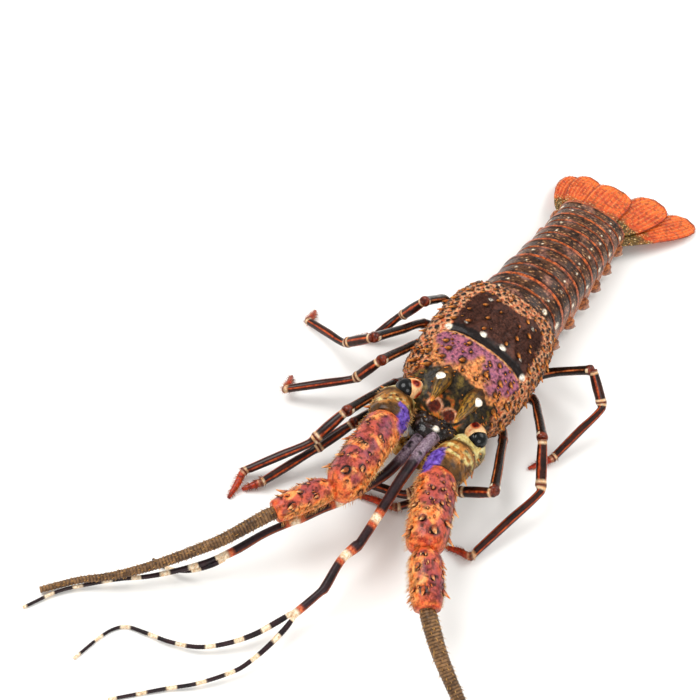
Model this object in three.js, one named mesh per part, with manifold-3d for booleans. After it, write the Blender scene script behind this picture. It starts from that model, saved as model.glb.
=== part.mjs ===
import * as THREE from "three";
import { mergeVertices } from "three/addons/utils/BufferGeometryUtils.js";
import Module from "manifold-3d";

const wasm = await Module();
wasm.setup();

// Driving sizes of the lobster, in millimetres. +X is towards the head, +Y its left side, +Z up.
const FIT_GAP = 0.36;
const CARAPACE_REAR = -31;
const CARAPACE_FRONT = 64;
const CARAPACE_ROLL = THREE.MathUtils.degToRad(8);
const ROLL_HEIGHT = 24;
const CARAPACE_LIFT = 3;
const EYE_RADIUS = 5.3;
const FAN_THICKNESS = 1.5;
const FAN_LAYER = 2.15;
const SPINE_SIDES = 5;
const SPINES = {
  large: { radius: 1.75, height: 6.5 },
  medium: { radius: 1.35, height: 4.4 },
  small: { radius: 1.0, height: 2.7 },
};

const root = new THREE.Group();
root.name = "spiny_lobster";

// A seeded sequence, so that the spines vary in the same way on every build.
let seed = 20417;
function vary(low, high) {
  seed = (seed * 1664525 + 1013904223) % 4294967296;
  return low + (high - low) * (seed / 4294967296);
}

function point(x, y, z) {
  return new THREE.Vector3(x, y, z);
}

function volume(shape) {
  const at = shape.attributes.position;
  const order = shape.index.array;
  const a = point(0, 0, 0);
  const b = point(0, 0, 0);
  const c = point(0, 0, 0);
  let sum = 0;
  for (let i = 0; i < order.length; i += 3) {
    a.fromBufferAttribute(at, order[i]);
    b.fromBufferAttribute(at, order[i + 1]);
    c.fromBufferAttribute(at, order[i + 2]);
    sum += a.dot(b.cross(c)) / 6;
  }
  return sum;
}

// Welds a shape's points together and turns its faces outwards.
function weld(shape) {
  shape.deleteAttribute("normal");
  shape.deleteAttribute("uv");
  shape.clearGroups();
  const welded = mergeVertices(shape, 1e-4);
  if (volume(welded) < 0) {
    const order = welded.index.array;
    for (let i = 0; i < order.length; i += 3) {
      const first = order[i];
      order[i] = order[i + 1];
      order[i + 1] = first;
    }
  }
  return welded;
}

// A closed body of rings. place(ring, turn, reach) gives a point: turn 0 is the top of the ring,
// reach is 1 on the ring and 0 at the middle of an end.
function loft(rings, sides, place) {
  const shape = new THREE.CylinderGeometry(1, 1, 1, sides, rings - 1, false);
  const at = shape.attributes.position;
  for (let i = 0; i < at.count; i++) {
    const reach = Math.hypot(at.getX(i), at.getZ(i)) > 0.5 ? 1 : 0;
    const turn = Math.round(Math.atan2(at.getX(i), at.getZ(i)) * 1e6) / 1e6;
    const ring = Math.round((0.5 - at.getY(i)) * (rings - 1));
    const put = place(ring, turn, reach);
    at.setXYZ(i, put.x, put.y, put.z);
  }
  return weld(shape);
}

// A limb along a bent line. Each station is [x, y, z, half width, half height].
function limb(stations, sides) {
  const middles = stations.map((s) => point(s[0], s[1], s[2]));
  const frames = middles.map((middle, i) => {
    const before = middles[Math.max(i - 1, 0)];
    const after = middles[Math.min(i + 1, middles.length - 1)];
    const into = middle.clone().sub(before).normalize();
    const out = after.clone().sub(middle).normalize();
    const along = into.add(out).normalize();
    const side = point(0, 0, 1).cross(along).normalize();
    return { middle, side, top: along.clone().cross(side) };
  });
  return loft(stations.length, sides, (ring, turn, reach) => {
    const { middle, side, top } = frames[ring];
    const across = Math.sin(turn) * stations[ring][3] * reach;
    const up = Math.cos(turn) * (stations[ring][4] ?? stations[ring][3]) * reach;
    return middle.clone().addScaledVector(side, across).addScaledVector(top, up);
  });
}

// A spine that grows from a surface point, its foot sunk just under the surface.
function spine(foot, normal, lean, size, scale = 1) {
  const along = normal.clone().multiplyScalar(0.66).addScaledVector(lean, 0.75).normalize();
  const radius = size.radius * scale;
  const tilt = Math.acos(THREE.MathUtils.clamp(along.dot(normal), 0.3, 1));
  const sunk = (radius * Math.sin(tilt) + 0.35) / Math.cos(tilt);
  const cone = new THREE.ConeGeometry(radius, size.height * scale + sunk, SPINE_SIDES, 1, false);
  cone.translate(0, (size.height * scale - sunk) / 2, 0);
  cone.applyQuaternion(new THREE.Quaternion().setFromUnitVectors(point(0, 1, 0), along));
  cone.translate(foot.x, foot.y, foot.z);
  return weld(cone);
}

function manifold(shape) {
  return new wasm.Manifold(new wasm.Mesh({
    numProp: 3,
    vertProperties: new Float32Array(shape.attributes.position.array),
    triVerts: new Uint32Array(shape.index.array),
  }));
}

function largest(body) {
  const pieces = body.decompose();
  return pieces.reduce((best, piece) => (piece.volume() > best.volume() ? piece : best));
}

function grown(shape) {
  const bigger = shape.clone();
  bigger.computeVertexNormals();
  const at = bigger.attributes.position;
  const out = bigger.attributes.normal;
  for (let i = 0; i < at.count; i++) {
    at.setXYZ(
      i,
      at.getX(i) + out.getX(i) * FIT_GAP,
      at.getY(i) + out.getY(i) * FIT_GAP,
      at.getZ(i) + out.getZ(i) * FIT_GAP,
    );
  }
  bigger.deleteAttribute("normal");
  return manifold(bigger);
}

// The half space under the floor, which trims small resting flats.
const underFloor = new THREE.BoxGeometry(900, 900, 40);
underFloor.translate(0, 0, -20);
const floorBlock = manifold(weld(underFloor));

const made = {};

// Joins the shapes of one node, takes off what its neighbours need, and adds the mesh to the group.
function node(name, shapes, neighbours, look) {
  let body = manifold(shapes[0]);
  for (const shape of shapes.slice(1)) {
    body = body.add(manifold(shape));
  }
  for (const neighbour of neighbours) {
    for (const shape of made[neighbour]) {
      body = body.subtract(grown(shape));
    }
  }
  body = largest(body.subtract(floorBlock));
  made[name] = shapes;
  const mesh = body.getMesh();
  const surface = new THREE.BufferGeometry();
  surface.setAttribute("position", new THREE.BufferAttribute(new Float32Array(mesh.vertProperties), 3));
  surface.setIndex(new THREE.BufferAttribute(new Uint32Array(mesh.triVerts), 1));
  surface.computeVertexNormals();
  const material = new THREE.MeshStandardMaterial({
    color: look[0],
    roughness: look[1],
    metalness: 0,
  });
  const result = new THREE.Mesh(surface, material);
  result.name = name;
  root.add(result);
}

// Colours and roughness of the shell, read from the photograph.
const LOOKS = {
  carapace: [0x6a3a30, 0.5],
  horn: [0x5c4a26, 0.45],
  eye: [0x0b0b0d, 0.12],
  eyestalk: [0xb8764a, 0.5],
  face: [0x8a6a40, 0.55],
  sternum: [0xc79a6a, 0.6],
  mouth: [0xb08a48, 0.6],
  tail: [0x4c3a28, 0.45],
  fan: [0xc4582a, 0.5],
  base: [0xc9a878, 0.5],
  peduncle: [0x9a5e6e, 0.5],
  whip: [0x6b5c3c, 0.55],
  antennule: [0x5a3a4a, 0.5],
  flagellum: [0xa8824e, 0.55],
  leg: [0x3a2420, 0.45],
  foot: [0xb5532c, 0.6],
};

// A smooth value between the rows of a table whose first column is the position along x.
function between(table, x, column) {
  let i = 0;
  while (i < table.length - 2 && x > table[i + 1][0]) {
    i++;
  }
  const [a, b] = [table[Math.max(i - 1, 0)], table[i]];
  const [c, d] = [table[i + 1], table[Math.min(i + 2, table.length - 1)]];
  const span = c[0] - b[0];
  const s = (x - b[0]) / span;
  const leave = ((c[column] - a[column]) / (c[0] - a[0])) * span;
  const arrive = ((d[column] - b[column]) / (d[0] - b[0])) * span;
  const s2 = s * s;
  const s3 = s2 * s;
  return (2 * s3 - 3 * s2 + 1) * b[column] + (s3 - 2 * s2 + s) * leave
    + (-2 * s3 + 3 * s2) * c[column] + (s3 - s2) * arrive;
}

// The carapace: position along x, half width, top height and underside height.
const CARAPACE = [
  [-31, 25.6, 40.5, 13],
  [-27, 27.2, 42.3, 12],
  [-15, 30.5, 45, 10.5],
  [0, 32, 48, 10],
  [15, 31.5, 49.5, 10],
  [34, 29, 48.5, 11],
  [49, 24, 44.5, 14],
  [58, 19.5, 39.5, 17],
  [62, 16.5, 36, 20],
  [64, 12.5, 33, 23],
];
const WIDEST_HEIGHT = 29;
const GROOVE_X = 20;
const GROOVE_DEPTH = 1.7;

function rolled(x, y, z) {
  const high = z - ROLL_HEIGHT;
  return point(
    x,
    y * Math.cos(CARAPACE_ROLL) + high * Math.sin(CARAPACE_ROLL),
    high * Math.cos(CARAPACE_ROLL) - y * Math.sin(CARAPACE_ROLL) + ROLL_HEIGHT + CARAPACE_LIFT,
  );
}

function carapacePoint(x, turn, reach) {
  const clampedX = THREE.MathUtils.clamp(x, CARAPACE_REAR, CARAPACE_FRONT);
  const halfWidth = between(CARAPACE, clampedX, 1);
  const top = between(CARAPACE, clampedX, 2);
  const under = between(CARAPACE, clampedX, 3);
  const middle = THREE.MathUtils.lerp(under, top, 0.5);
  const wide = Math.min(WIDEST_HEIGHT, middle + 2);
  const upper = Math.cos(turn) > 0;
  const power = upper ? 0.9 : 0.72;
  const sideways = Math.sign(Math.sin(turn)) * Math.abs(Math.sin(turn)) ** power;
  const rise = Math.abs(Math.cos(turn)) ** power;
  const groove = Math.exp(-(((x - GROOVE_X) / 1.7) ** 2)) * THREE.MathUtils.smoothstep(Math.cos(turn), -0.35, 0.2);
  const inset = 1 - (GROOVE_DEPTH * groove) / halfWidth;
  const forward = 15 * THREE.MathUtils.smoothstep(1 - Math.cos(turn), 0.1, 1.4)
    * Math.exp(-(((x - GROOVE_X) / 20) ** 2));
  const height = wide + (upper ? (top - wide) * rise : (under - wide) * rise) * inset * reach;
  return rolled(x + forward, halfWidth * sideways * inset * reach, height);
}

// Rows of spines on the carapace: position along x, turn from the top in degrees, size name.
const CARAPACE_SPINES = [
  [45, 22, "medium"], [41, 8, "small"], [36, 13, "large"], [30, 9, "small"], [26, 15, "medium"],
  [40, 35, "medium"], [34, 30, "small"], [29, 38, "medium"], [46, 50, "large"], [37, 56, "medium"],
  [28, 62, "small"], [40, 78, "medium"], [12, 10, "medium"], [11, 26, "medium"], [12, 44, "medium"],
  [10, 63, "medium"], [3, 16, "medium"], [2, 34, "small"], [3, 54, "medium"], [1, 74, "medium"],
  [-7, 9, "small"], [-7, 25, "medium"], [-8, 45, "small"], [-7, 65, "medium"], [-9, 84, "medium"],
  [-16, 16, "medium"], [-17, 36, "small"], [-16, 56, "medium"], [-18, 76, "small"], [-25, 28, "small"],
  [-25, 50, "small"], [-26, 70, "small"], [13, 84, "medium"], [24, 84, "small"],
];

function carapaceNormal(x, turn) {
  const ahead = carapacePoint(x + 0.5, turn, 1).sub(carapacePoint(x - 0.5, turn, 1));
  const around = carapacePoint(x, turn + 0.02, 1).sub(carapacePoint(x, turn - 0.02, 1));
  const out = around.cross(ahead).normalize();
  return out.dot(carapacePoint(x, turn, 1).sub(carapacePoint(x, turn, 0))) < 0 ? out.negate() : out;
}

const carapaceStations = [];
for (let x = CARAPACE_REAR; x < GROOVE_X - 5; x += 4.6) {
  carapaceStations.push(x);
}
carapaceStations.push(GROOVE_X - 2.6, GROOVE_X, GROOVE_X + 2.6, GROOVE_X + 6);
for (let x = GROOVE_X + 11; x < CARAPACE_FRONT - 2; x += 5) {
  carapaceStations.push(x);
}
carapaceStations.push(CARAPACE_FRONT);

const carapaceShapes = [loft(carapaceStations.length, 32, (ring, turn, reach) => (
  carapacePoint(carapaceStations[ring], turn, reach)))];
for (const side of [1, -1]) {
  for (const [x, degrees, size] of CARAPACE_SPINES) {
    const turn = side * THREE.MathUtils.degToRad(degrees + vary(-2, 2));
    const along = x + vary(-0.8, 0.8);
    const foot = carapacePoint(along, turn, 1);
    const normal = carapaceNormal(along, turn);
    carapaceShapes.push(spine(foot, normal, point(1, 0, 0), SPINES[size], vary(0.88, 1.12)));
  }
}
node("carapace", carapaceShapes, [], LOOKS.carapace);

// The breast plate between the legs, with the small flat that the body rests on.
const STERNUM = [
  [-33, 9, 17, 2],
  [-26, 14, 17, 0],
  [-10, 18.5, 18, 0],
  [10, 20, 19, 0],
  [28, 19.5, 20, 0],
  [40, 15, 21, 1.5],
  [46, 9, 22, 5],
];
node("sternum", [loft(STERNUM.length, 16, (ring, turn, reach) => {
  const [x, halfWidth, top, under] = STERNUM[ring];
  const middle = 7.5;
  const up = Math.cos(turn);
  const flat = Math.sign(Math.sin(turn)) * Math.abs(Math.sin(turn)) ** 0.7;
  const height = up > 0 ? middle + (top - middle) * up ** 0.6 * reach
    : middle - (middle - under) * Math.min(1, -up * 1.3) * reach;
  return point(x, flat * halfWidth * reach, height);
})], ["carapace"], LOOKS.sternum);

// The eyes, each a ball on a short stalk beside a horn.
const EYES = { right: point(60.9, -20.3, 39), left: point(60.9, 22.5, 33) };
const STALK_ROOTS = { right: point(51.5, -10.5, 36.5), left: point(51.5, 12.5, 33.2) };

// The two strong horns over the eyes, flattened from side to side and curved upwards.
const HORN_ROOTS = { right: rolled(43, -9.4, 39.5), left: rolled(43, 9.4, 39.5) };
const HORN_TIPS = { right: point(71.8, -4.2, 54.5), left: point(76.2, 11.1, 54.5) };
const HORN_PROFILE = [
  [0, 4.6, 6.2],
  [0.2, 4.7, 6],
  [0.42, 4, 5],
  [0.62, 2.9, 3.6],
  [0.8, 1.9, 2.3],
  [0.93, 1.1, 1.2],
  [1, 0.45, 0.45],
];

for (const side of ["right", "left"]) {
  const from = HORN_ROOTS[side];
  const to = HORN_TIPS[side];
  const stations = HORN_PROFILE.map(([t, wide, tall]) => {
    const middle = from.clone().lerp(to, t);
    const arch = 2.6 * Math.sin(Math.PI * t) * (t < 0.5 ? 1 : 0.8);
    return [middle.x, middle.y, middle.z + arch - 1.2, wide, tall];
  });
  const hornShape = limb(stations, 10);
  node(`horn_${side}`, [hornShape], ["carapace"], LOOKS.horn);
}

for (const side of ["right", "left"]) {
  const centre = EYES[side];
  const ball = new THREE.SphereGeometry(EYE_RADIUS, 14, 9);
  ball.scale(1, 1, 0.95);
  ball.translate(centre.x, centre.y, centre.z);
  node(`eye_${side}`, [weld(ball)], ["carapace", `horn_${side}`], LOOKS.eye);
}

for (const side of ["right", "left"]) {
  const to = EYES[side];
  const from = STALK_ROOTS[side];
  const reach = [0, 0.35, 0.7, 1].map((t) => {
    const middle = from.clone().lerp(to, t);
    return [middle.x, middle.y, middle.z, 3.5 + t, 3.3 + t];
  });
  const parents = ["carapace", `horn_${side}`, `eye_${side}`];
  node(`eyestalk_${side}`, [limb(reach, 10)], parents, LOOKS.eyestalk);
}

// The plate between the horns and under the eyes that carries both pairs of feelers.
const FACE = [
  [54, 15, 37, 12],
  [61, 14.5, 36.5, 13],
  [67, 12.5, 36, 15],
  [72, 10, 35, 19],
  [75, 7.5, 33.5, 23],
];
node("face", [loft(FACE.length, 16, (ring, turn, reach) => {
  const [x, halfWidth, top, under] = FACE[ring];
  const middle = (top + under) / 2;
  const flat = Math.sign(Math.sin(turn)) * Math.abs(Math.sin(turn)) ** 0.8;
  const lift = Math.sign(Math.cos(turn)) * Math.abs(Math.cos(turn)) ** 0.8;
  return point(x, 1.2 + flat * halfWidth * reach, middle + lift * ((top - under) / 2) * reach);
})], ["carapace", "horn_right", "horn_left", "eye_right", "eye_left", "eyestalk_right", "eyestalk_left"],
LOOKS.face);

// Spines set round a limb, in rings of a given count at given places along it.
function limbSpines(stations, rows) {
  const found = [];
  for (const [t, degrees, size] of rows) {
    const place = t * (stations.length - 1);
    const i = Math.min(Math.floor(place), stations.length - 2);
    const share = place - i;
    const a = stations[i];
    const b = stations[i + 1];
    const mix = a.map((value, k) => value + (b[k] - value) * share);
    const along = point(b[0] - a[0], b[1] - a[1], b[2] - a[2]).normalize();
    const side = point(0, 0, 1).cross(along).normalize();
    const top = along.clone().cross(side);
    const turn = THREE.MathUtils.degToRad(degrees + vary(-5, 5));
    const out = side.clone().multiplyScalar(Math.sin(turn)).addScaledVector(top, Math.cos(turn));
    const foot = point(mix[0], mix[1], mix[2]);
    foot.addScaledVector(side, Math.sin(turn) * mix[3] * 0.96);
    foot.addScaledVector(top, Math.cos(turn) * (mix[4] ?? mix[3]) * 0.96);
    found.push(spine(foot, out, along, SPINES[size], vary(0.85, 1.1)));
  }
  return found;
}

// The long feelers: a ringed base, two stout spiny segments and a stiff whip.
const ANTENNAE = {
  right: {
    base: [
      [57, -18.5, 26, 7], [63, -20.5, 28.5, 9.6], [68, -21, 31, 10.4], [71, -20.8, 32.3, 9.4],
      [77, -19.8, 34.2, 10.2], [82, -19, 35.6, 9.6], [84.6, -18.6, 36.4, 8.2],
    ],
    second: [
      [84.2, -18.7, 36.3, 8], [88, -18.3, 36.8, 9.6], [98, -18.1, 36.4, 9.9], [108, -18, 35.8, 10],
      [118, -17.9, 35, 10.1], [126, -17.8, 34.3, 9.6], [130.4, -18.8, 33.9, 8], [132.6, -20.2, 33.6, 5.6],
    ],
    third: [
      [131.8, -20.2, 33.6, 4.4], [136, -24, 33, 6.4], [143, -28.7, 31.8, 6.6],
      [151, -33.2, 30.2, 6.2], [156.6, -36.5, 29.1, 5.2],
    ],
    whip: [
      [155.6, -35.8, 29.2, 3], [160, -38.5, 28.2, 3.3], [169, -43.4, 25.4, 3.1], [179.5, -49.3, 22, 2.9],
      [191.9, -59, 17, 2.6], [201, -66.6, 13.4, 2.4], [209.9, -74.8, 10, 2.2], [218, -83.3, 7.3, 1.9],
      [225.4, -92.6, 5, 1.7], [232.5, -99.3, 3.4, 1.6], [238.5, -104.4, 2.4, 1.5],
    ],
  },
  left: {
    base: [
      [57, 19, 21.5, 7], [62, 20, 23.5, 9.4], [66.5, 19.8, 25, 10.4], [70.5, 19.3, 26.2, 9.4],
      [77, 18.6, 28.2, 10.4], [86, 17.8, 30.2, 10.2], [92.5, 17.6, 30.9, 8.6],
    ],
    second: [
      [92, 17.7, 30.9, 8.4], [96, 18.1, 31, 9.8], [104, 20.8, 30.9, 10.1], [112, 23.6, 30.6, 10.2],
      [120, 26.3, 30.3, 10.2], [126.5, 28.5, 30.1, 9.8], [130.6, 30, 30, 8.4], [132.6, 31, 29.9, 6.2],
    ],
    third: [
      [132, 30.7, 30, 5], [135.5, 33, 29.4, 7.4], [143, 37.8, 27.8, 8],
      [150.5, 42.4, 26.2, 7.6], [155.8, 45.6, 25.1, 6],
    ],
    whip: [
      [155, 45, 25.2, 3.6], [158.4, 48.6, 24, 4.1], [167.6, 60.6, 18, 3.7], [177.9, 77.3, 11.6, 3.1],
      [185.5, 90.5, 7.6, 2.7], [192, 103, 5.2, 2.3], [198, 116, 3.6, 2], [203.5, 128.5, 2.4, 1.7],
    ],
  },
};

const SECOND_SPINES = [
  [0.2, 46, "small"], [0.24, 130, "small"], [0.32, -20, "small"], [0.42, 76, "medium"], [0.48, 14, "small"],
  [0.52, -60, "small"], [0.57, 120, "medium"], [0.68, 45, "medium"], [0.72, -30, "medium"],
  [0.78, 90, "medium"], [0.84, 10, "large"], [0.86, -75, "medium"],
];
const THIRD_SPINES = [
  [0.3, 60, "small"], [0.34, -40, "small"], [0.5, 110, "small"], [0.55, 5, "small"], [0.72, 70, "medium"],
  [0.76, -30, "medium"], [0.8, -110, "small"], [0.84, 140, "small"],
];
const BASE_SPINES = [[0.36, 60, "small"], [0.38, 110, "medium"], [0.8, 85, "medium"], [0.82, 20, "small"]];

function mirrored(rows, side) {
  const sign = side === "left" ? 1 : -1;
  return rows.map(([t, degrees, size]) => [t, degrees * sign, size]);
}

for (const side of ["right", "left"]) {
  const { base, second, third, whip } = ANTENNAE[side];
  const baseShapes = [limb(base, 14), ...limbSpines(base, mirrored(BASE_SPINES, side))];
  const near = ["carapace", "face", `eye_${side}`, `eyestalk_${side}`];
  node(`antenna_base_${side}`, baseShapes, near, LOOKS.base);
  const secondShapes = [limb(second, 14), ...limbSpines(second, mirrored(SECOND_SPINES, side))];
  node(`antenna_second_${side}`, secondShapes, [`antenna_base_${side}`], LOOKS.peduncle);
  const thirdShapes = [limb(third, 12), ...limbSpines(third, mirrored(THIRD_SPINES, side))];
  node(`antenna_third_${side}`, thirdShapes, [`antenna_second_${side}`], LOOKS.peduncle);
  node(`antenna_whip_${side}`, [limb(whip, 8)], [`antenna_third_${side}`], LOOKS.whip);
}

// The thin inner feelers: a jointed stalk that ends in two fine threads.
const ANTENNULES = {
  right: {
    stalk: [
      [72, -2, 28, 3.2], [84, -3, 26.5, 3], [100, -5.5, 23.6, 2.7], [112, -10, 21.8, 2.6], [123.6, -15.2, 20, 2.3],
      [125.6, -16.4, 19.8, 2.7], [135, -21.6, 19, 2.2], [145.5, -27.5, 18, 2.4], [147.5, -28.7, 17.8, 2],
      [160.7, -36.5, 16, 1.9], [173.9, -42.5, 13.8, 2.1], [182, -46.7, 12.6, 1.9],
    ],
    outer: [
      [181.2, -46.9, 12.8, 1.2], [188, -51.6, 10.8, 1.4], [199.4, -61.7, 8, 1.25], [207, -69.8, 6, 1.1],
      [214.2, -78.9, 4.5, 1], [224, -88.9, 3, 0.9], [233.9, -97.5, 2, 0.8], [248.9, -105.3, 0.7, 0.75],
    ],
    inner: [
      [181.6, -44.9, 12.6, 1.1], [186.4, -48.4, 10, 1.2], [191.9, -54.6, 6.6, 1.1], [194.8, -61, 3.8, 1],
      [195.7, -67, 1.9, 0.9], [195, -74, 0.7, 0.75],
    ],
  },
  left: {
    stalk: [
      [73, 4.5, 32, 3.3], [84, 3.2, 32.8, 3.1], [103.8, 2.8, 31, 2.8], [118, 3, 28, 2.6], [142.5, 3.2, 23, 2.3],
      [144.5, 2.7, 22.5, 2.7], [153.2, 0.2, 20, 2.1], [169.3, 0.8, 16, 2.3], [171.4, 0.2, 15.4, 1.9],
      [179, -2.2, 12.7, 1.9], [186.4, -4.8, 10, 2],
    ],
    outer: [
      [185.4, -5.6, 10.2, 1.2], [192, -8.8, 8.6, 1.4], [202.6, -14.4, 6.6, 1.25], [213, -22.6, 4.8, 1.1],
      [220.9, -31.9, 3.6, 1], [225.6, -43.8, 2.4, 0.95], [227.8, -55.1, 1.5, 0.9], [230.4, -64, 0.8, 0.8],
      [237.2, -68.7, 0.7, 0.75], [255.4, -72.7, 0.7, 0.75],
    ],
    inner: [
      [185.6, -3.8, 10, 1.1], [193, -4.2, 8.8, 1.3], [203.4, -6, 7, 1.2], [212.5, -8.4, 5.8, 1.1],
      [220.8, -11.8, 4.6, 1], [235.1, -22.6, 2.9, 0.9], [244.4, -32.7, 1.4, 0.85], [253, -41, 0.8, 0.8],
      [262.1, -49.6, 0.7, 0.75],
    ],
  },
};

for (const side of ["right", "left"]) {
  const { stalk, outer, inner } = ANTENNULES[side];
  const other = side === "left" ? ["antennule_right"] : [];
  node(`antennule_${side}`, [limb(stalk, 8)], ["face", ...other], LOOKS.antennule);
  node(`flagellum_outer_${side}`, [limb(outer, 6)], [`antennule_${side}`], LOOKS.flagellum);
  const near = [`antennule_${side}`, `flagellum_outer_${side}`];
  node(`flagellum_inner_${side}`, [limb(inner, 6)], near, LOOKS.flagellum);
}

// The folded leg-like mouth pieces under the face.
for (const [side, sign] of [["right", -1], ["left", 1]]) {
  const stations = [
    [40, 6.5 * sign, 7, 3.4], [46, 6.8 * sign, 6.4, 4], [56, 7.4 * sign, 7.2, 4.1], [65, 7.6 * sign, 9, 3.6],
    [71, 7 * sign, 12, 3.9], [75, 5.6 * sign, 17, 3.2], [76.5, 4.6 * sign, 21, 2],
  ];
  node(`mouth_leg_${side}`, [limb(stations, 10)], ["sternum", "carapace", "face"], LOOKS.mouth);
}

// The ten walking legs: an upper part from the body to the knee, and a lower part to the claw tip.
const LEGS = {
  right_1: {
    upper: [[36, -15, 8], [42, -20.5, 9.6], [51.1, -25.8, 14], [67, -30, 18.5], [84.4, -34.3, 22]],
    lower: [[84.4, -34.3, 22], [100, -42.6, 12.4], [103.6, -44.4, 10.7], [130, -55.7, 4.5], [137.2, -62, 0.8]],
  },
  right_2: {
    upper: [[24, -16, 8], [30, -23.6, 10.6], [44.9, -30.2, 18], [66, -34.4, 25.6], [88.7, -38.5, 33]],
    lower: [[88.7, -38.5, 33], [102.5, -44.4, 21.6], [106, -46, 19], [129.7, -65.8, 4.8], [145.5, -64.5, 0.8]],
  },
  right_3: {
    upper: [[10, -17, 8], [10, -24.4, 10.4], [11, -32.2, 17.6], [29, -36.2, 26], [49.7, -40.3, 34]],
    lower: [[49.7, -40.3, 34], [54.8, -47.6, 20], [56, -49.7, 17.4], [75.3, -75.7, 7.5], [61.4, -79.6, 0.8]],
  },
  right_4: {
    upper: [[-6, -17, 8], [-6.4, -25, 10.6], [-4, -36.3, 17.6], [16, -43.6, 25.4], [38, -51.3, 33]],
    lower: [[38, -51.3, 33], [37.5, -63, 20], [37.2, -65.6, 17.4], [26.2, -90.9, 5.4], [13.5, -93.5, 0.8]],
  },
  right_5: {
    upper: [[-20, -15, 9], [-24, -24, 12], [-26.6, -36, 18], [-15, -38.8, 26.4], [-1.9, -41.6, 34]],
    lower: [[-1.9, -41.6, 34], [0.2, -49, 19.6], [0.9, -50.8, 17], [11.6, -57.4, 5.4], [16.8, -67, 0.8]],
  },
  left_1: {
    upper: [[36, 14, 6.5], [44, 18, 6.5], [56, 17.4, 7], [70, 15, 9.5], [84, 12, 15]],
    lower: [[84, 12, 15], [97.5, 8, 14.6], [99.4, 5, 13.6], [100.6, -15.1, 7.2], [101.2, -30, 0.8]],
  },
  left_2: {
    upper: [[24, 15, 6], [26, 23, 6.8], [29.6, 29.6, 11], [54, 36.6, 19.6], [80.6, 43.2, 28]],
    lower: [[80.6, 43.2, 28], [79.6, 29, 14.2], [80.6, 25.4, 11.8], [100.9, 5.7, 4.6], [105.6, -18.6, 0.8]],
  },
  left_3: {
    upper: [[9, 16, 6], [3, 25, 7], [0.6, 33.3, 13], [17, 41.5, 21.6], [35.8, 49.8, 29]],
    lower: [[35.8, 49.8, 29], [52.4, 60.6, 17], [55.6, 62.1, 15.6], [102.3, 49.2, 4.4], [103.8, 35.6, 0.8]],
  },
  left_4: {
    upper: [[-8, 16, 6.5], [-17, 25, 8], [-23.5, 34.5, 13], [-23.6, 43.6, 21.6], [-22.9, 53.4, 31]],
    lower: [[-22.9, 53.4, 31], [-17, 65.6, 18.8], [-14.6, 67.5, 16.6], [21.5, 58.7, 4.6], [33.6, 50.6, 0.8]],
  },
  left_5: {
    upper: [[-18, 13, 6], [-27, 16.4, 4.6], [-38, 18, 4.2], [-49, 18.6, 4], [-60, 18.8, 3.9]],
    lower: [[-60, 18.8, 3.9], [-65.4, 12, 3.2], [-64.6, 8.6, 3], [-48, 1.4, 2.4], [-39, -3.4, 0.8]],
  },
};
const UPPER_RADII = [3.8, 3.6, 2.8, 2.6, 2.8];
const LOWER_RADII = [2.3, 2.6, 2.1, 1.9, 0.9];

function legStations(points, radii) {
  const stations = points.map((p, i) => [...p, radii[i]]);
  return stations;
}

// The claw tip of a lower leg: thick at its root, thinning to the end.
function lowerStations(points) {
  const [knee, wrist, hand, ankle, tip] = legStations(points, LOWER_RADII);
  const mid = (a, b, t, radius) => [
    a[0] + (b[0] - a[0]) * t, a[1] + (b[1] - a[1]) * t, a[2] + (b[2] - a[2]) * t, radius,
  ];
  return [
    knee, mid(knee, wrist, 0.5, 2.8), wrist, hand, mid(hand, ankle, 0.45, 2.3), mid(hand, ankle, 0.92, 2.1),
    mid(hand, ankle, 1.02, 1.9), mid(ankle, tip, 0.45, 1.7), tip,
  ];
}

for (const [name, { upper, lower }] of Object.entries(LEGS)) {
  const near = ["sternum", "carapace"];
  if (name === "left_1") {
    near.push("face", "mouth_leg_left", "antenna_base_left");
  }
  if (name === "right_1") {
    near.push("antenna_base_right");
  }
  const end = upper[upper.length - 1];
  const before = upper[upper.length - 2];
  const knob = [0, 1, 2].map((k) => end[k] + (end[k] - before[k]) * 0.06);
  const stations = legStations(upper, UPPER_RADII);
  stations.push([...knob, 1.9]);
  node(`leg_upper_${name}`, [limb(stations, 10)], near, LOOKS.leg);
  node(`leg_lower_${name}`, [limb(lowerStations(lower), 8)], [...near, `leg_upper_${name}`], LOOKS.foot);
}

// The tail: for each segment its front and rear edge, middle line, half width, top and belly height.
const TAIL = [
  { front: -31.4, rear: -52, y: [0, 1.6], half: [23.6, 24.6], top: [39, 40.8], belly: 10.4 },
  { front: -52.3, rear: -73, y: [1.6, 3.2], half: [23.4, 24], top: [38.6, 39.6], belly: 9.6 },
  { front: -73.3, rear: -93, y: [3.2, 4.8], half: [22.8, 23.2], top: [37.4, 37.8], belly: 9 },
  { front: -93.3, rear: -111, y: [4.8, 5.9], half: [22, 22.3], top: [35.6, 35.2], belly: 8.6 },
  { front: -111.3, rear: -129, y: [5.9, 6.4], half: [21, 21.6], top: [33, 32], belly: 8.2 },
  { front: -129.3, rear: -149, y: [6.4, 6.6], half: [20.6, 21], top: [29.8, 26], belly: 8 },
];
const TAIL_RINGS = [0, 0.12, 0.42, 0.62, 0.86, 1];
const TAIL_STEP = [0, 0.55, 0.5, -0.2, 0.75, 0.75];
const TAIL_SIDES = 28;
const HOOK_LENGTH = 13;
const HOOK_FLARE = 4;

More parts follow.
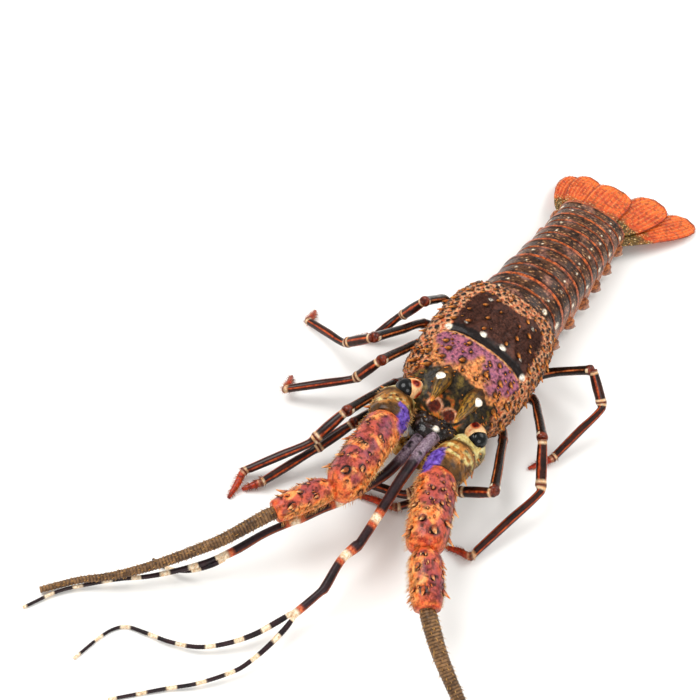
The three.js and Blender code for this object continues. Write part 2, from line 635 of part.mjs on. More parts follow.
function tailPoint(segment, u, lift, turn, reach) {
  const lerp = THREE.MathUtils.lerp;
  const halfWidth = lerp(segment.half[0], segment.half[1], u) + lift;
  const top = lerp(segment.top[0], segment.top[1], u) + lift;
  const y = lerp(segment.y[0], segment.y[1], u);
  const side = 15;
  const up = Math.cos(turn);
  const skirt = Math.max(0, 1 - Math.abs(Math.abs(turn) - 1.85) / 0.5);
  const across = Math.sign(Math.sin(turn)) * Math.abs(Math.sin(turn)) ** 0.92 * (halfWidth + skirt * 1.2);
  const height = up > 0 ? side + (top - side) * up ** 0.92
    : side - (side - segment.belly) * Math.min(1, -up * 1.5) - skirt * 5.5;
  const x = lerp(segment.front, segment.rear, u);
  return point(x, y + across * reach, lerp((top + segment.belly) / 2, height, reach));
}

TAIL.forEach((segment, index) => {
  const hooks = [];
  const shapes = [loft(TAIL_RINGS.length, TAIL_SIDES, (ring, turn, reach) => (
    tailPoint(segment, TAIL_RINGS[ring], TAIL_STEP[ring], turn, reach)))];
  for (const side of [1, -1]) {
    const edge = segment.y[1] + side * segment.half[1];
    const base = point(segment.rear + HOOK_LENGTH * 0.55, edge - side * 1.6, 13.5);
    const way = point(segment.rear - 1, edge + side * HOOK_FLARE, 3.6).sub(base);
    const hook = new THREE.ConeGeometry(4.4, way.length(), 6, 1, false);
    hook.translate(0, way.length() / 2, 0);
    hook.scale(1, 1, 0.42);
    hook.applyQuaternion(new THREE.Quaternion().setFromUnitVectors(point(0, 1, 0), way.normalize()));
    hook.translate(base.x, base.y, base.z);
    hooks.push(weld(hook));
    if (index > 0 && index < 5) {
      const flap = new THREE.SphereGeometry(5.6, 8, 6);
      flap.scale(1.1, 0.75, 0.36);
      flap.rotateY(-0.35);
      const under = segment.belly;
      flap.translate(THREE.MathUtils.lerp(segment.front, segment.rear, 0.55), segment.y[0] + side * 9, under - 0.4);
      shapes.push(weld(flap));
    }
  }
  const before = index === 0 ? ["sternum", "leg_upper_left_5"] : [`tail_hooks_${index}`, "leg_lower_left_5"];
  made[`tail_hooks_${index + 1}`] = hooks;
  node(`tail_segment_${index + 1}`, [...shapes, ...hooks], before, LOOKS.tail);
});

// The tail fan: the middle plate and two blades on each side, each a thin ribbed plate.
const FAN_ROOT_X = -152;
const FAN_END_X = -214;
const FAN_ROOT_Z = 11.2;
const FAN_END_Z = 0.75;
const FAN = {
  telson: {
    layer: 2,
    line: [[-145, 6.6, 7], [-152, 6.4, 10.4], [-168, 6.6, 12], [-184, 7.4, 12.4], [-193, 7.8, 11], [-198.6, 8, 6.6]],
  },
  uropod_inner_right: {
    layer: 1,
    line: [[-146, -7, 3], [-154, -8, 5.6], [-169, -9.6, 8.6], [-184, -10, 9.4], [-193, -9.6, 8], [-198.6, -9, 4.6]],
  },
  uropod_inner_left: {
    layer: 1,
    line: [[-146, 19, 3], [-155, 20.6, 6], [-173, 24.6, 11], [-193, 29, 12.4], [-204.6, 32, 10.6], [-211.6, 34, 5.6]],
  },
  uropod_outer_right: {
    layer: 0,
    line: [[-145, -11, 3.4], [-154, -13.6, 6.4], [-168, -16.4, 8.6], [-180, -17.6, 8.8], [-189, -17.6, 7], [-194, -17.2, 4]],
  },
  uropod_outer_left: {
    layer: 0,
    line: [[-145, 23.6, 3.4], [-153, 27, 6], [-171, 35.6, 9.4], [-193, 47, 11], [-205.6, 53.4, 9.6], [-212.6, 57, 5.4]],
  },
};
const FAN_SIDES = 20;
const FAN_RAY = 0.28;

function fanHeight(x, layer) {
  const share = (x - FAN_END_X) / (FAN_ROOT_X - FAN_END_X);
  return FAN_END_Z + (FAN_ROOT_Z - FAN_END_Z) * share + layer * FAN_LAYER;
}

for (const [name, { layer, line }] of Object.entries(FAN)) {
  const blade = loft(line.length, FAN_SIDES, (ring, turn, reach) => {
    const [x, y, half] = line[ring];
    const next = line[Math.min(ring + 1, line.length - 1)];
    const last = line[Math.max(ring - 1, 0)];
    const away = Math.hypot(next[0] - last[0], next[1] - last[1]);
    const acrossX = (next[1] - last[1]) / away;
    const acrossY = -(next[0] - last[0]) / away;
    const sideways = Math.sin(turn) * half * reach;
    const ray = Math.round((turn / Math.PI) * FAN_SIDES / 2) % 2 === 0 ? FAN_RAY : -FAN_RAY;
    const edge = 0.45 + 0.55 * Math.abs(Math.cos(turn)) ** 0.5;
    const thin = ring === line.length - 1 ? 0.6 : 1;
    const half2 = (FAN_THICKNESS / 2) * edge * thin;
    const rib = Math.cos(turn) > 0.1 && ring > 1 && ring < line.length - 1 ? ray : 0;
    const lift = Math.sign(Math.cos(turn)) * (Math.abs(Math.cos(turn)) > 0.01 ? half2 : 0) + rib;
    const bladeX = x + acrossX * sideways;
    return point(bladeX, y + acrossY * sideways, fanHeight(bladeX, layer) + lift * reach);
  });
  const near = ["tail_segment_6"];
  if (name.startsWith("uropod_inner")) {
    near.push("telson");
  }
  if (name.startsWith("uropod_outer")) {
    near.push("telson", name.replace("outer", "inner"));
  }
  node(name, [blade], near, LOOKS.fan);
}

export default root;
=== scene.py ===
import math
import random

import bmesh
import bpy
from mathutils import Matrix, Vector, kdtree, noise


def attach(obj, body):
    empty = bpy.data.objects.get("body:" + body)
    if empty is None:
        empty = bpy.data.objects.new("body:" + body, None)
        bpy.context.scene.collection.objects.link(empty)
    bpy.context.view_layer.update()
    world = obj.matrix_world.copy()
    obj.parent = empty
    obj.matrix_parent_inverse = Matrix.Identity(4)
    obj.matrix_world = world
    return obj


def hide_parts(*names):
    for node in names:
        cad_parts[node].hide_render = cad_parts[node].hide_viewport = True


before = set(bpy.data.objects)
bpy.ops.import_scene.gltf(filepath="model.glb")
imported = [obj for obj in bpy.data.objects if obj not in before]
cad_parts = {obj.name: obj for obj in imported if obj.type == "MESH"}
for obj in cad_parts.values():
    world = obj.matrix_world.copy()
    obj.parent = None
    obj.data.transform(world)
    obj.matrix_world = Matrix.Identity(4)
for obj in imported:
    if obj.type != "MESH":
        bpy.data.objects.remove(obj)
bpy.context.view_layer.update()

# The carapace is one hard shield of chalky shell over the head and chest, moulded with a groove across,
# fuzzy pads, a pitted net and spines that lean forwards. Soft skin joins its lower edges to the breast
# plate. Like every piece it is made in millimetres, and scaled when it is finished.
CARAPACE_ROWS = [  # x, half width, top, underside
    (-31, 25.6, 40.5, 13), (-27, 27.2, 42.3, 12), (-15, 30.5, 45, 10.5), (0, 32, 48, 10),
    (15, 31.5, 49.5, 10), (34, 29, 48.5, 11), (49, 24, 44.5, 14), (58, 19.5, 39.5, 17),
    (62, 16.5, 36, 20), (64, 12.5, 33, 23),
]
CARAPACE_REAR = -31
CARAPACE_FRONT = 64
CARAPACE_ROLL = math.radians(8)
ROLL_HEIGHT = 24
BODY_LIFT = 3
GROOVE_X = 20
CARAPACE_SPINES = [  # x, degrees from the top, radius, height
    (45, 22, 1.35, 4.4), (41, 8, 1.0, 2.7), (36, 13, 1.75, 6.0), (30, 9, 1.0, 2.7), (26, 15, 1.35, 4.0),
    (40, 35, 1.35, 4.2), (34, 30, 1.5, 4.6), (29, 38, 1.35, 4.0), (46, 50, 1.75, 6.2),
    (37, 56, 1.35, 4.4), (28, 62, 1.0, 2.7), (40, 78, 1.35, 4.2), (12, 10, 1.35, 3.6),
    (11, 26, 1.35, 3.8), (12, 44, 1.35, 4.0), (10, 63, 1.35, 4.2), (3, 16, 1.35, 3.6), (2, 34, 1.0, 2.7),
    (3, 54, 1.35, 4.0), (1, 74, 1.35, 4.2), (-7, 9, 1.0, 2.4), (-7, 25, 1.35, 3.6), (-8, 45, 1.0, 2.7),
    (-7, 65, 1.35, 4.0), (-9, 84, 1.35, 4.2), (-16, 16, 1.35, 3.4), (-17, 36, 1.0, 2.6),
    (-16, 56, 1.35, 3.6), (-18, 76, 1.0, 2.7), (-25, 28, 1.0, 2.4), (-25, 50, 1.0, 2.4),
    (-26, 70, 1.0, 2.6), (13, 84, 1.35, 4.2), (24, 84, 1.0, 2.7),
]
CARAPACE_DOTS = [(15.2, 9, 1.8), (18, 46, 1.9), (-14, 24, 1.2), (12.5, 30, 1.0), (-20, 60, 1.3)]


def mixed(a, b, share):
    return a + (b - a) * share


def ease(low, high, value):
    """0 below low and 1 above high, with a smooth rise between them."""
    share = min(1.0, max(0.0, (value - low) / (high - low)))
    return share * share * (3 - 2 * share)


def between(rows, x, column):
    """One column of a table at x, along a smooth curve through its rows."""
    i = 0
    while i < len(rows) - 2 and x > rows[i + 1][0]:
        i += 1
    a, b, c, d = rows[max(i - 1, 0)], rows[i], rows[i + 1], rows[min(i + 2, len(rows) - 1)]
    span = c[0] - b[0]
    s = (x - b[0]) / span
    leave = (c[column] - a[column]) / (c[0] - a[0]) * span
    arrive = (d[column] - b[column]) / (d[0] - b[0]) * span
    return ((2 * s**3 - 3 * s**2 + 1) * b[column] + (s**3 - 2 * s**2 + s) * leave
            + (-2 * s**3 + 3 * s**2) * c[column] + (s**3 - s**2) * arrive)


def rolled(x, y, z):
    """A point of the shield, which lies rolled a little to its left."""
    high = z - ROLL_HEIGHT
    across = y * math.cos(CARAPACE_ROLL) + high * math.sin(CARAPACE_ROLL)
    upward = high * math.cos(CARAPACE_ROLL) - y * math.sin(CARAPACE_ROLL)
    return Vector((x, across, upward + (ROLL_HEIGHT + BODY_LIFT)))


def carapace_point(x, turn, reach=1.0):
    """A point of the shield at x, turned from its top; reach 0 is its middle and 1 its surface."""
    half = between(CARAPACE_ROWS, x, 1)
    top = between(CARAPACE_ROWS, x, 2)
    under = between(CARAPACE_ROWS, x, 3)
    wide = min(29, (top + under) / 2 + 2)
    up = math.cos(turn)
    power = 0.9 if up > 0 else 0.72
    sideways = math.copysign(abs(math.sin(turn)) ** power, math.sin(turn))
    groove = math.exp(-(((x - GROOVE_X) / 1.4) ** 2)) * ease(-0.35, 0.2, up)
    inset = 1 - 1.7 * groove / half
    forward = 15 * ease(0.1, 1.4, 1 - up) * math.exp(-(((x - GROOVE_X) / 20) ** 2))
    rise = ((top if up > 0 else under) - wide) * abs(up) ** power * inset
    return rolled(x + forward, half * sideways * inset * reach, wide + rise * reach)


def ringed_on(bm, rings, sides, place):
    """A closed body of rings. place(along, turn, reach) gives a point; turn 0 is the top of a ring."""
    along = bm.verts.layers.float.get("along") or bm.verts.layers.float.new("along")
    around = bm.verts.layers.float.get("around") or bm.verts.layers.float.new("around")
    placed = bm.verts.layers.int.get("placed") or bm.verts.layers.int.new("placed")
    made = bmesh.ops.create_cone(bm, cap_ends=True, cap_tris=True, segments=sides, radius1=1, radius2=1,
                                 depth=1)
    edges = {e for v in made["verts"] for e in v.link_edges}
    upright = [e for e in edges if abs(e.verts[0].co.z - e.verts[1].co.z) > 0.5]
    bmesh.ops.subdivide_edges(bm, edges=upright, cuts=rings - 2, use_grid_fill=True)
    fresh = [v for v in bm.verts if not v[placed]]
    for v in fresh:
        v[placed] = 1
        reach = 1.0 if math.hypot(v.co.x, v.co.y) > 0.5 else 0.0
        v[along] = v.co.z + 0.5
        v[around] = math.atan2(v.co.x, v.co.y) if reach else 0.0
        v.co = place(v[along], v[around], reach)
    bmesh.ops.recalc_face_normals(bm, faces=list({face for v in fresh for face in v.link_faces}))
    bm.normal_update()
    return fresh


def ringed(rings, sides, place):
    bm = bmesh.new()
    ringed_on(bm, rings, sides, place)
    return bm


def spike(bm, foot, normal, lean, radius, height, sides=7):
    """A spine on a surface point, its foot sunk under the surface. Its tip mask runs from 0 to 1."""
    way = (normal * 0.66 + lean * 0.75).normalized()
    sunk = radius * 0.9 + 0.3
    tip = bm.verts.layers.float.get("tip") or bm.verts.layers.float.new("tip")
    turned = way.to_track_quat("Z", "Y").to_matrix().to_4x4()
    at = Matrix.Translation(foot + way * ((height - sunk) / 2)) @ turned
    made = bmesh.ops.create_cone(bm, cap_ends=True, cap_tris=True, segments=sides, radius1=radius,
                                 radius2=radius * 0.14, depth=height + sunk, matrix=at)
    placed = bm.verts.layers.int.get("placed")
    for v in made["verts"]:
        v[tip] = ease(-sunk, height, (v.co - foot).dot(way))
        v[placed] = 1


def bristle(bm, foot, way, length, radius):
    """A thin three-sided hair, its foot 0.3 under the surface."""
    side = way.orthogonal().normalized()
    low = foot - way * 0.3
    ring = [bm.verts.new(low + Matrix.Rotation(math.tau * k / 3, 3, way) @ side * radius) for k in range(3)]
    point = bm.verts.new(foot + way * length)
    faces = [bm.faces.new((ring[k], ring[(k + 1) % 3], point)) for k in range(3)]
    faces.append(bm.faces.new((ring[2], ring[1], ring[0])))
    return faces


def near_points(points, inner=0.65, outer=1.2):
    """A finder among some (place, radius) pairs: how far inside one of them a place lies, 0 to 1."""
    tree = kdtree.KDTree(len(points))
    for i, (place, _) in enumerate(points):
        tree.insert(place, i)
    tree.balance()

    def inside(co):
        nearest = [(points[i][1], distance) for _, i, distance in tree.find_n(co, 2)]
        return max(1 - ease(radius * inner, radius * outer, distance) for radius, distance in nearest)

    return inside


def masks_on(bm, *names):
    """Values kept on a piece's points, by name, with the along and around that its rings left there."""
    kept = bm.verts.layers.float
    return {name: kept.get(name) or kept.new(name) for name in (*names, "along", "around")}


def tone(red, green, blue):
    """A colour in everyday 0 to 255 values, as the shader wants it."""
    shares = [value / 255 for value in (red, green, blue)]
    linear = [share / 12.92 if share <= 0.04045 else ((share + 0.055) / 1.055) ** 2.4 for share in shares]
    return (*linear, 1.0)


SPECK_COLOUR = (0.16, 0.11, 0.1, 1)
MIX_FIRST, MIX_SECOND, MIX_RESULT = 6, 7, 2


def shell_finish(name, ground, coats, gloss=0.4, grain=700, relief=0.5, wet=0.15, specks=0.6):
    """A shell's finish. ground and each coat are two colours that a fine noise mixes; a coat is laid over
    the ones before it where its mask, a value kept on the mesh, is 1. specks is how dark its specks are.
    The three MIX names are a Mix node's colour sockets."""
    material = bpy.data.materials.new(name)
    material.use_nodes = True
    tree = material.node_tree
    shader = tree.nodes["Principled BSDF"]
    place = tree.nodes.new("ShaderNodeTexCoord")

    def noisy(scale, detail, rough=0.6):
        node = tree.nodes.new("ShaderNodeTexNoise")
        node.inputs["Scale"].default_value = scale
        node.inputs["Detail"].default_value = detail
        node.inputs["Roughness"].default_value = rough
        tree.links.new(place.outputs["Object"], node.inputs["Vector"])
        return node.outputs["Fac"]

    def ranged(value, low, high, to_low, to_high):
        node = tree.nodes.new("ShaderNodeMapRange")
        for socket, number in zip(("From Min", "From Max", "To Min", "To Max"), (low, high, to_low, to_high)):
            node.inputs[socket].default_value = number
        tree.links.new(value, node.inputs["Value"])
        return node.outputs["Result"]

    def blended(share, first, second):
        node = tree.nodes.new("ShaderNodeMix")
        node.data_type = "RGBA"
        tree.links.new(share, node.inputs["Factor"])
        for socket, colour in ((node.inputs[MIX_FIRST], first), (node.inputs[MIX_SECOND], second)):
            if isinstance(colour, tuple):
                socket.default_value = colour
            else:
                tree.links.new(colour, socket)
        return node.outputs[MIX_RESULT]

    fine = ranged(noisy(grain, 5), 0.38, 0.62, 0, 1)
    broad = ranged(noisy(grain * 0.22, 3), 0.35, 0.65, 0, 1)
    colour = blended(broad, ground[0], ground[1])
    for mask, first, second in coats:
        layer = tree.nodes.new("ShaderNodeAttribute")
        layer.attribute_name = mask
        colour = blended(layer.outputs["Fac"], colour, blended(fine, first, second))
    dark = tree.nodes.new("ShaderNodeMix")
    dark.data_type = "RGBA"
    dark.blend_type = "MULTIPLY"
    dark.inputs[MIX_SECOND].default_value = SPECK_COLOUR
    tree.links.new(ranged(noisy(grain * 0.8, 4, 0.7), 0.4, 0.53, specks, 0), dark.inputs["Factor"])
    tree.links.new(colour, dark.inputs[MIX_FIRST])
    tree.links.new(dark.outputs[MIX_RESULT], shader.inputs["Base Color"])
    shader.inputs["Specular IOR Level"].default_value = 0.16
    tree.links.new(ranged(fine, 0, 1, gloss - 0.07, gloss + 0.12), shader.inputs["Roughness"])
    shader.inputs["Coat Weight"].default_value = wet
    shader.inputs["Coat Roughness"].default_value = 0.12
    bump = tree.nodes.new("ShaderNodeBump")
    bump.inputs["Strength"].default_value = relief
    bump.inputs["Distance"].default_value = 0.0004
    tree.links.new(noisy(grain * 1.7, 6, 0.65), bump.inputs["Height"])
    tree.links.new(bump.outputs["Normal"], shader.inputs["Normal"])
    return material


def finished(name, bm, nodes, slot_name, material):
    """Turns a piece made in millimetres into an object at the origin, and gives it to the frame."""
    bmesh.ops.scale(bm, vec=(0.001, 0.001, 0.001), verts=bm.verts)
    mesh = bpy.data.meshes.new(name)
    bm.to_mesh(mesh)
    bm.free()
    mesh.shade_smooth()
    mesh.materials.append(material)
    piece = bpy.data.objects.new(name, mesh)
    bpy.context.scene.collection.objects.link(piece)
    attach(piece, "root")
    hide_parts(*nodes)


draw = random.Random(4017)


def packed(tries, place, low, high, spread=1.25):
    """Round patches strewn over a surface, the large ones first, with none touching."""
    cells = {}
    found = []
    for i in range(tries):
        co = place()
        if co is None:
            continue
        radius = mixed(high, low, (i / tries) ** 0.5)
        key = [int(k // 6) for k in co]
        near = [spot for dx in (-1, 0, 1) for dy in (-1, 0, 1) for dz in (-1, 0, 1)
                for spot in cells.get((key[0] + dx, key[1] + dy, key[2] + dz), ())]
        if all((co - other).length > (radius + r) * spread for other, r in near):
            found.append((co, radius))
            cells.setdefault(tuple(key), []).append((co, radius))
    return found


def comb_zone(x, degrees, wave):
    """How much of the pitted net there is at a place, 0 to 1: along the rear and down both flanks."""
    rear_edge = x + wave - 7 * ease(35, 62, degrees) + 3.5 * math.exp(-((degrees - 22) / 7) ** 2)
    flank_edge = degrees + wave * 1.8 - 5 * ease(-10, 12, x) - 7 * ease(20, 26, x)
    return max(1 - ease(-17.5, -16, rear_edge), ease(39, 42, flank_edge) * (1 - ease(44, 50, x)))


def comb_place():
    x = draw.uniform(-30.5, 46)
    turn = draw.uniform(-2.1, 2.1)
    if comb_zone(x, abs(math.degrees(turn)), 0) < 0.5:
        return None
    return carapace_point(x, turn)


def gastric_place():
    return carapace_point(draw.uniform(23, 46), draw.uniform(-1.1, 1.1))


def pad_distance(x, degrees):
    """How far a place is from the middle pad or the one beside it, where 1 is at the pad's edge."""
    middle = math.hypot(x / 14, degrees / 13)
    beside = math.hypot((x + 1) / 15.5, (abs(degrees) - 29) / 15)
    return min(middle, beside)


carapace = ringed(190, 250, lambda t, turn, reach: carapace_point(
    mixed(CARAPACE_REAR, CARAPACE_FRONT, t), turn, reach))
comb_spots = packed(9000, comb_place, 0.55, 1.75)
comb_pits = near_points(comb_spots, 0.8, 1.05)
comb_rings = near_points(comb_spots, 1.15, 1.7)
gastric_pits = near_points(packed(900, gastric_place, 0.4, 0.95, 2.0))
dots = near_points([(carapace_point(x, side * math.radians(degrees)), radius)
                    for x, degrees, radius in CARAPACE_DOTS for side in (1, -1)])
lens_places = [(Vector((61.5, -3.5, 39.4)), 3.7), (Vector((62.2, 5.2, 38.6)), 3.6)]
lenses = near_points(lens_places, 0.8, 0.95)
lens_rims = near_points(lens_places, 1.05, 1.35)
spine_feet = []
for side in (1, -1):
    for x, degrees, radius, height in CARAPACE_SPINES:
        foot_x = x + draw.uniform(-0.8, 0.8)
        turn = side * math.radians(degrees + draw.uniform(-2, 2))
        spine_feet.append((foot_x, turn, radius, height))
    for _ in range(150):
        x = draw.uniform(-29, 55)
        degrees = draw.uniform(5, 95)
        if 14 < x < 23 or (-16 < x < 18 and degrees < 52 and draw.random() < 0.92):
            continue
        spine_feet.append((x, side * math.radians(degrees), draw.uniform(0.5, 0.8), draw.uniform(1.3, 2.3)))
sockets = near_points([(carapace_point(x, turn), radius * 1.55) for x, turn, radius, _ in spine_feet])
mask = masks_on(carapace, "mauve", "orange", "front", "moss", "pad", "comb", "ring", "rim", "pit", "socket",
                "streak", "lensrim", "lens", "dot")
for v in carapace.verts:
    x = mixed(CARAPACE_REAR, CARAPACE_FRONT, v[mask["along"]])
    degrees = abs(math.degrees(v[mask["around"]]))
    wave = noise.noise(v.co * 0.22) * 3.2 + noise.noise(v.co * 0.8) * 1.0
    comb = comb_zone(x, degrees, wave)
    ahead = ease(GROOVE_X + 1.6, GROOVE_X + 3, x)
    gastric = ahead * (1 - ease(43, 46.5, x + wave)) * (1 - ease(50, 58, degrees + wave * 1.5))
    purple = ease(-0.35, 0.25, math.sin(math.radians(degrees) * 3.4) * 0.9 - (x - 29) / 14 + wave * 0.1)
    pad = (1 - ahead) * (1 - ease(0.85, 1.05, pad_distance(x, degrees) + wave * 0.03)) * (1 - comb)
    # groove is painted shade: a near-black band laid across the shield's groove, wider than its dent, where
    # shade falls.
    groove = ease(15, 16.6, x + wave * 0.7) * (1 - ease(20.8, 21.8, x)) * (1 - ease(85, 100, degrees))
    rim = math.exp(-(((x - GROOVE_X - 2.4) / 0.8) ** 2)) * (1 - ease(60, 75, degrees))
    pit = max(comb_pits(v.co) * comb, gastric_pits(v.co) * gastric * 0.8)
    v[mask["mauve"]] = gastric * purple
    v[mask["orange"]] = gastric * (1 - purple)
    v[mask["front"]] = ahead * (1 - gastric) * (1 - comb)
    v[mask["moss"]] = ease(0.1, 0.35, noise.noise(v.co * 0.3)) * v[mask["front"]] * 0.8
    v[mask["pad"]] = pad
    v[mask["comb"]] = comb
    v[mask["ring"]] = comb_rings(v.co) * comb
    v[mask["rim"]] = rim * 0.85
    # The socket mask darkens the shell round each spine's foot, and here it also carries the painted shade
    # across the groove.
    v[mask["socket"]] = max(sockets(v.co) * 0.95, groove * 0.95 * (1 - comb))
    v[mask["lens"]] = lenses(v.co)
    v[mask["lensrim"]] = lens_rims(v.co) * (1 - ease(-0.6, 1.4, v.co.x - 61.9))
    torn = ease(-0.1, 0.25, noise.noise(v.co * 0.4))
    v[mask["streak"]] = ease(53, 56, x) * (1 - ease(9, 12, abs(v.co.y - 1.5))) * torn
    v[mask["dot"]] = dots(v.co)
    v[mask["pit"]] = pit
    rough = noise.noise(v.co * 1.6) * 0.16 + noise.noise(v.co * 0.5) * 0.25
    fuzz = pad * (0.35 + noise.noise(v.co * 2.6) * 0.22)
    swell = dots(v.co) * 0.7 + lenses(v.co) * 0.7
    v.co += v.normal * (rough + fuzz + swell + comb * 0.3 - pit * 0.95)
for x, turn, radius, height in spine_feet:
    foot = carapace_point(x, turn)
    normal = (foot - carapace_point(x, turn, 0)).normalized()
    spike(carapace, foot, normal, Vector((1, 0, 0)), radius, height)
carapace_finish = shell_finish("carapace shell", (tone(92, 50, 36), tone(52, 28, 22)), [
    ("mauve", tone(186, 108, 122), tone(128, 72, 104)),
    ("orange", tone(216, 122, 66), tone(238, 166, 96)),
    ("front", tone(58, 46, 22), tone(16, 12, 8)),
    ("moss", tone(128, 104, 40), tone(70, 58, 24)),
    ("pad", tone(58, 30, 22), tone(106, 64, 50)),
    ("comb", tone(214, 112, 66), tone(176, 78, 42)),
    ("ring", tone(246, 196, 146), tone(224, 142, 96)),
    ("rim", tone(214, 126, 58), tone(240, 184, 120)),
    ("pit", tone(10, 5, 4), tone(34, 14, 8)),
    # socket: dark shell round the spines' feet, and painted shade along the groove
    ("socket", tone(8, 5, 6), tone(24, 14, 10)),
    ("streak", tone(216, 96, 30), tone(150, 120, 50)),
    ("lensrim", tone(250, 200, 160), tone(230, 130, 80)),
    ("lens", tone(110, 34, 8), tone(60, 14, 4)),
    ("dot", tone(255, 252, 240), tone(250, 240, 216)),
    ("tip", tone(220, 104, 28), tone(250, 172, 80)),
], wet=0.08)
finished("carapace_shield", carapace, ["carapace"], "carapace_shell", carapace_finish)


# The breast plate is a shield of pale, unglazed shell between the legs, moulded with a low seam for each
# pair of them. It closes the body from below, and the legs are jointed to its edges.
STERNUM_ROWS = [  # x, half width, top, underside
    (-33, 9, 17, 2), (-26, 14, 17, 0), (-10, 18.5, 18, 0), (10, 20, 19, 0), (28, 19.5, 20, 0),
    (40, 15, 21, 1.5), (46, 9, 22, 5),
]
STERNUM_REAR = -33
STERNUM_FRONT = 46
STERNUM_WAIST = 7.5
SEAM_STEP = 16
TOP_GAP = 2.2


def sternum_point(t, turn, reach):
    x = mixed(STERNUM_REAR, STERNUM_FRONT, t)
    half = between(STERNUM_ROWS, x, 1)
    top = between(STERNUM_ROWS, x, 2) - TOP_GAP
    under = max(0.0, between(STERNUM_ROWS, x, 3))
    up = math.cos(turn)
    flat = math.copysign(abs(math.sin(turn)) ** 0.7, math.sin(turn))
    seam = 0.5 * math.exp(-((((x - STERNUM_REAR) % SEAM_STEP - SEAM_STEP / 2) / 1.1) ** 2))
    if up > 0:
        height = STERNUM_WAIST + (top - STERNUM_WAIST) * up**0.6 * reach
    else:
        height = STERNUM_WAIST - (STERNUM_WAIST - under) * min(1, -up * 1.3) * reach
    return Vector((x, flat * (half - seam) * reach, height + (seam * 0.6 if up < 0 else 0)))


sternum = ringed(70, 72, sternum_point)
sternum_finish = shell_finish("breast plate shell", (tone(214, 176, 132), tone(176, 122, 84)), [],
                              gloss=0.5, grain=500)
finished("breast_plate", sternum, ["sternum"], "sternum_shell", sternum_finish)


# The two horns over the eyes are hollow outgrowths of the same shell, ridged along their length, olive
# with dark streaks and worn pale at the tip. They are fused to the shield at the root.
def limb_frames(rows):
    """At each row of a limb: its middle, the ways to its side and top, and the way it runs."""
    middles = [Vector(row[:3]) for row in rows]
    found = []
    for i, middle in enumerate(middles):
        before = middles[max(i - 1, 0)]
        after = middles[min(i + 1, len(middles) - 1)]
        way = ((middle - before).normalized() + (after - middle).normalized()).normalized()
        side = Vector((0, 0, 1)).cross(way).normalized()
        found.append((middle, side, way.cross(side), way))
    return found


def limb_surface(rows):
    """For a limb whose rows are (x, y, z, half width[, half height]): place(t, turn, reach), which gives
    a point of it, at(t), which gives its middle, side, top, way and sizes there, and its length."""
    lengths = [0.0]
    for a, b in zip(rows, rows[1:]):
        lengths.append(lengths[-1] + (Vector(b[:3]) - Vector(a[:3])).length)
    share = [s / lengths[-1] for s in lengths]
    full = [tuple(row) + ((row[3],) if len(row) == 4 else ()) for row in rows]
    table = [(s, *row) for s, row in zip(share, full)]
    frames = limb_frames(rows)

    def at(t):
        t = min(1.0, max(0.0, t))
        i = max(k for k in range(len(share) - 1) if share[k] <= t + 1e-9)
        part = (t - share[i]) / (share[i + 1] - share[i])
        middle = Vector([between(table, t, k) for k in (1, 2, 3)])
        side = frames[i][1].lerp(frames[i + 1][1], part).normalized()
        top = frames[i][2].lerp(frames[i + 1][2], part).normalized()
        way = frames[i][3].lerp(frames[i + 1][3], part).normalized()
        return middle, side, top, way, max(0.2, between(table, t, 4)), max(0.2, between(table, t, 5))

    cache = {}

    def place(t, turn, reach, swell=0.0):
        key = round(t, 6)
        if key not in cache:
            cache[key] = at(key)
        middle, side, top, _, wide, tall = cache[key]
        across = side * (math.sin(turn) * (wide + swell) * reach)
        return middle + across + top * (math.cos(turn) * (tall + swell) * reach)

    return place, at, lengths[-1]


HORN_PROFILE = [(0, 4.6, 6.2), (0.2, 4.7, 6), (0.42, 4, 5), (0.62, 2.9, 3.6), (0.8, 1.9, 2.3),
                (0.93, 1.1, 1.2), (1, 0.45, 0.45)]
HORNS = {
    "right": (rolled(43, -9.4, 39.5), Vector((71.8, -4.2, 54.5))),
    "left": (rolled(43, 9.4, 39.5), Vector((76.2, 11.1, 54.5))),
}
HORN_DOTS = {"right": Vector((55, -7.2, 53.4)), "left": Vector((55.6, 14.2, 50.8))}
HORN_DOT_SIZE = (2.8, 2.8, 1.3)
HORN_RIDGES = 9
horn_finish = shell_finish("horn shell", (tone(168, 122, 42), tone(96, 70, 24)), [
    ("streak", tone(30, 20, 8), tone(74, 52, 20)),
    ("edge", tone(226, 160, 56), tone(206, 90, 30)),
    ("foot", tone(20, 14, 8), tone(84, 58, 26)),
    ("dot", tone(255, 250, 238), tone(250, 236, 212)),
], gloss=0.35, grain=420)
for side, (low, high) in HORNS.items():
    rows = []
    for t, wide, tall in HORN_PROFILE:
        middle = low.lerp(high, t)
        arch = 2.6 * math.sin(math.pi * t) * (1 if t < 0.5 else 0.8)
        rows.append((middle.x, middle.y, middle.z + arch - 1.2, wide, tall))
    horn_place, _, _ = limb_surface(rows)
    horn = ringed(80, 40, lambda t, turn, reach: horn_place(
        t, turn, reach, 0.22 * math.sin(turn * HORN_RIDGES) * (1 - t) - 0.1))
    mask = masks_on(horn, "streak", "edge", "foot", "dot")
    for v in horn.verts:
        ridge = math.sin(v[mask["around"]] * HORN_RIDGES + 2.5 * noise.noise(v.co * 0.4))
        v[mask["streak"]] = ease(0.1, 0.6, ridge + noise.noise(v.co * 0.9))
        worn = 0.55 * ease(0.25, 0.55, noise.noise(v.co * 0.5))
        v[mask["edge"]] = ease(0.88, 0.99, v[mask["along"]]) + worn
        v[mask["foot"]] = 1 - ease(0.28, 0.4, v[mask["along"]])
    boss = bmesh.ops.create_uvsphere(horn, u_segments=24, v_segments=14, radius=1)
    for v in boss["verts"]:
        v[mask["dot"]] = 1.0
        v.co = HORN_DOTS[side] + Vector([k * size for k, size in zip(v.co, HORN_DOT_SIZE)])
    finished(f"horn_{side}_shell", horn, [f"horn_{side}"], "horn_shell", horn_finish)


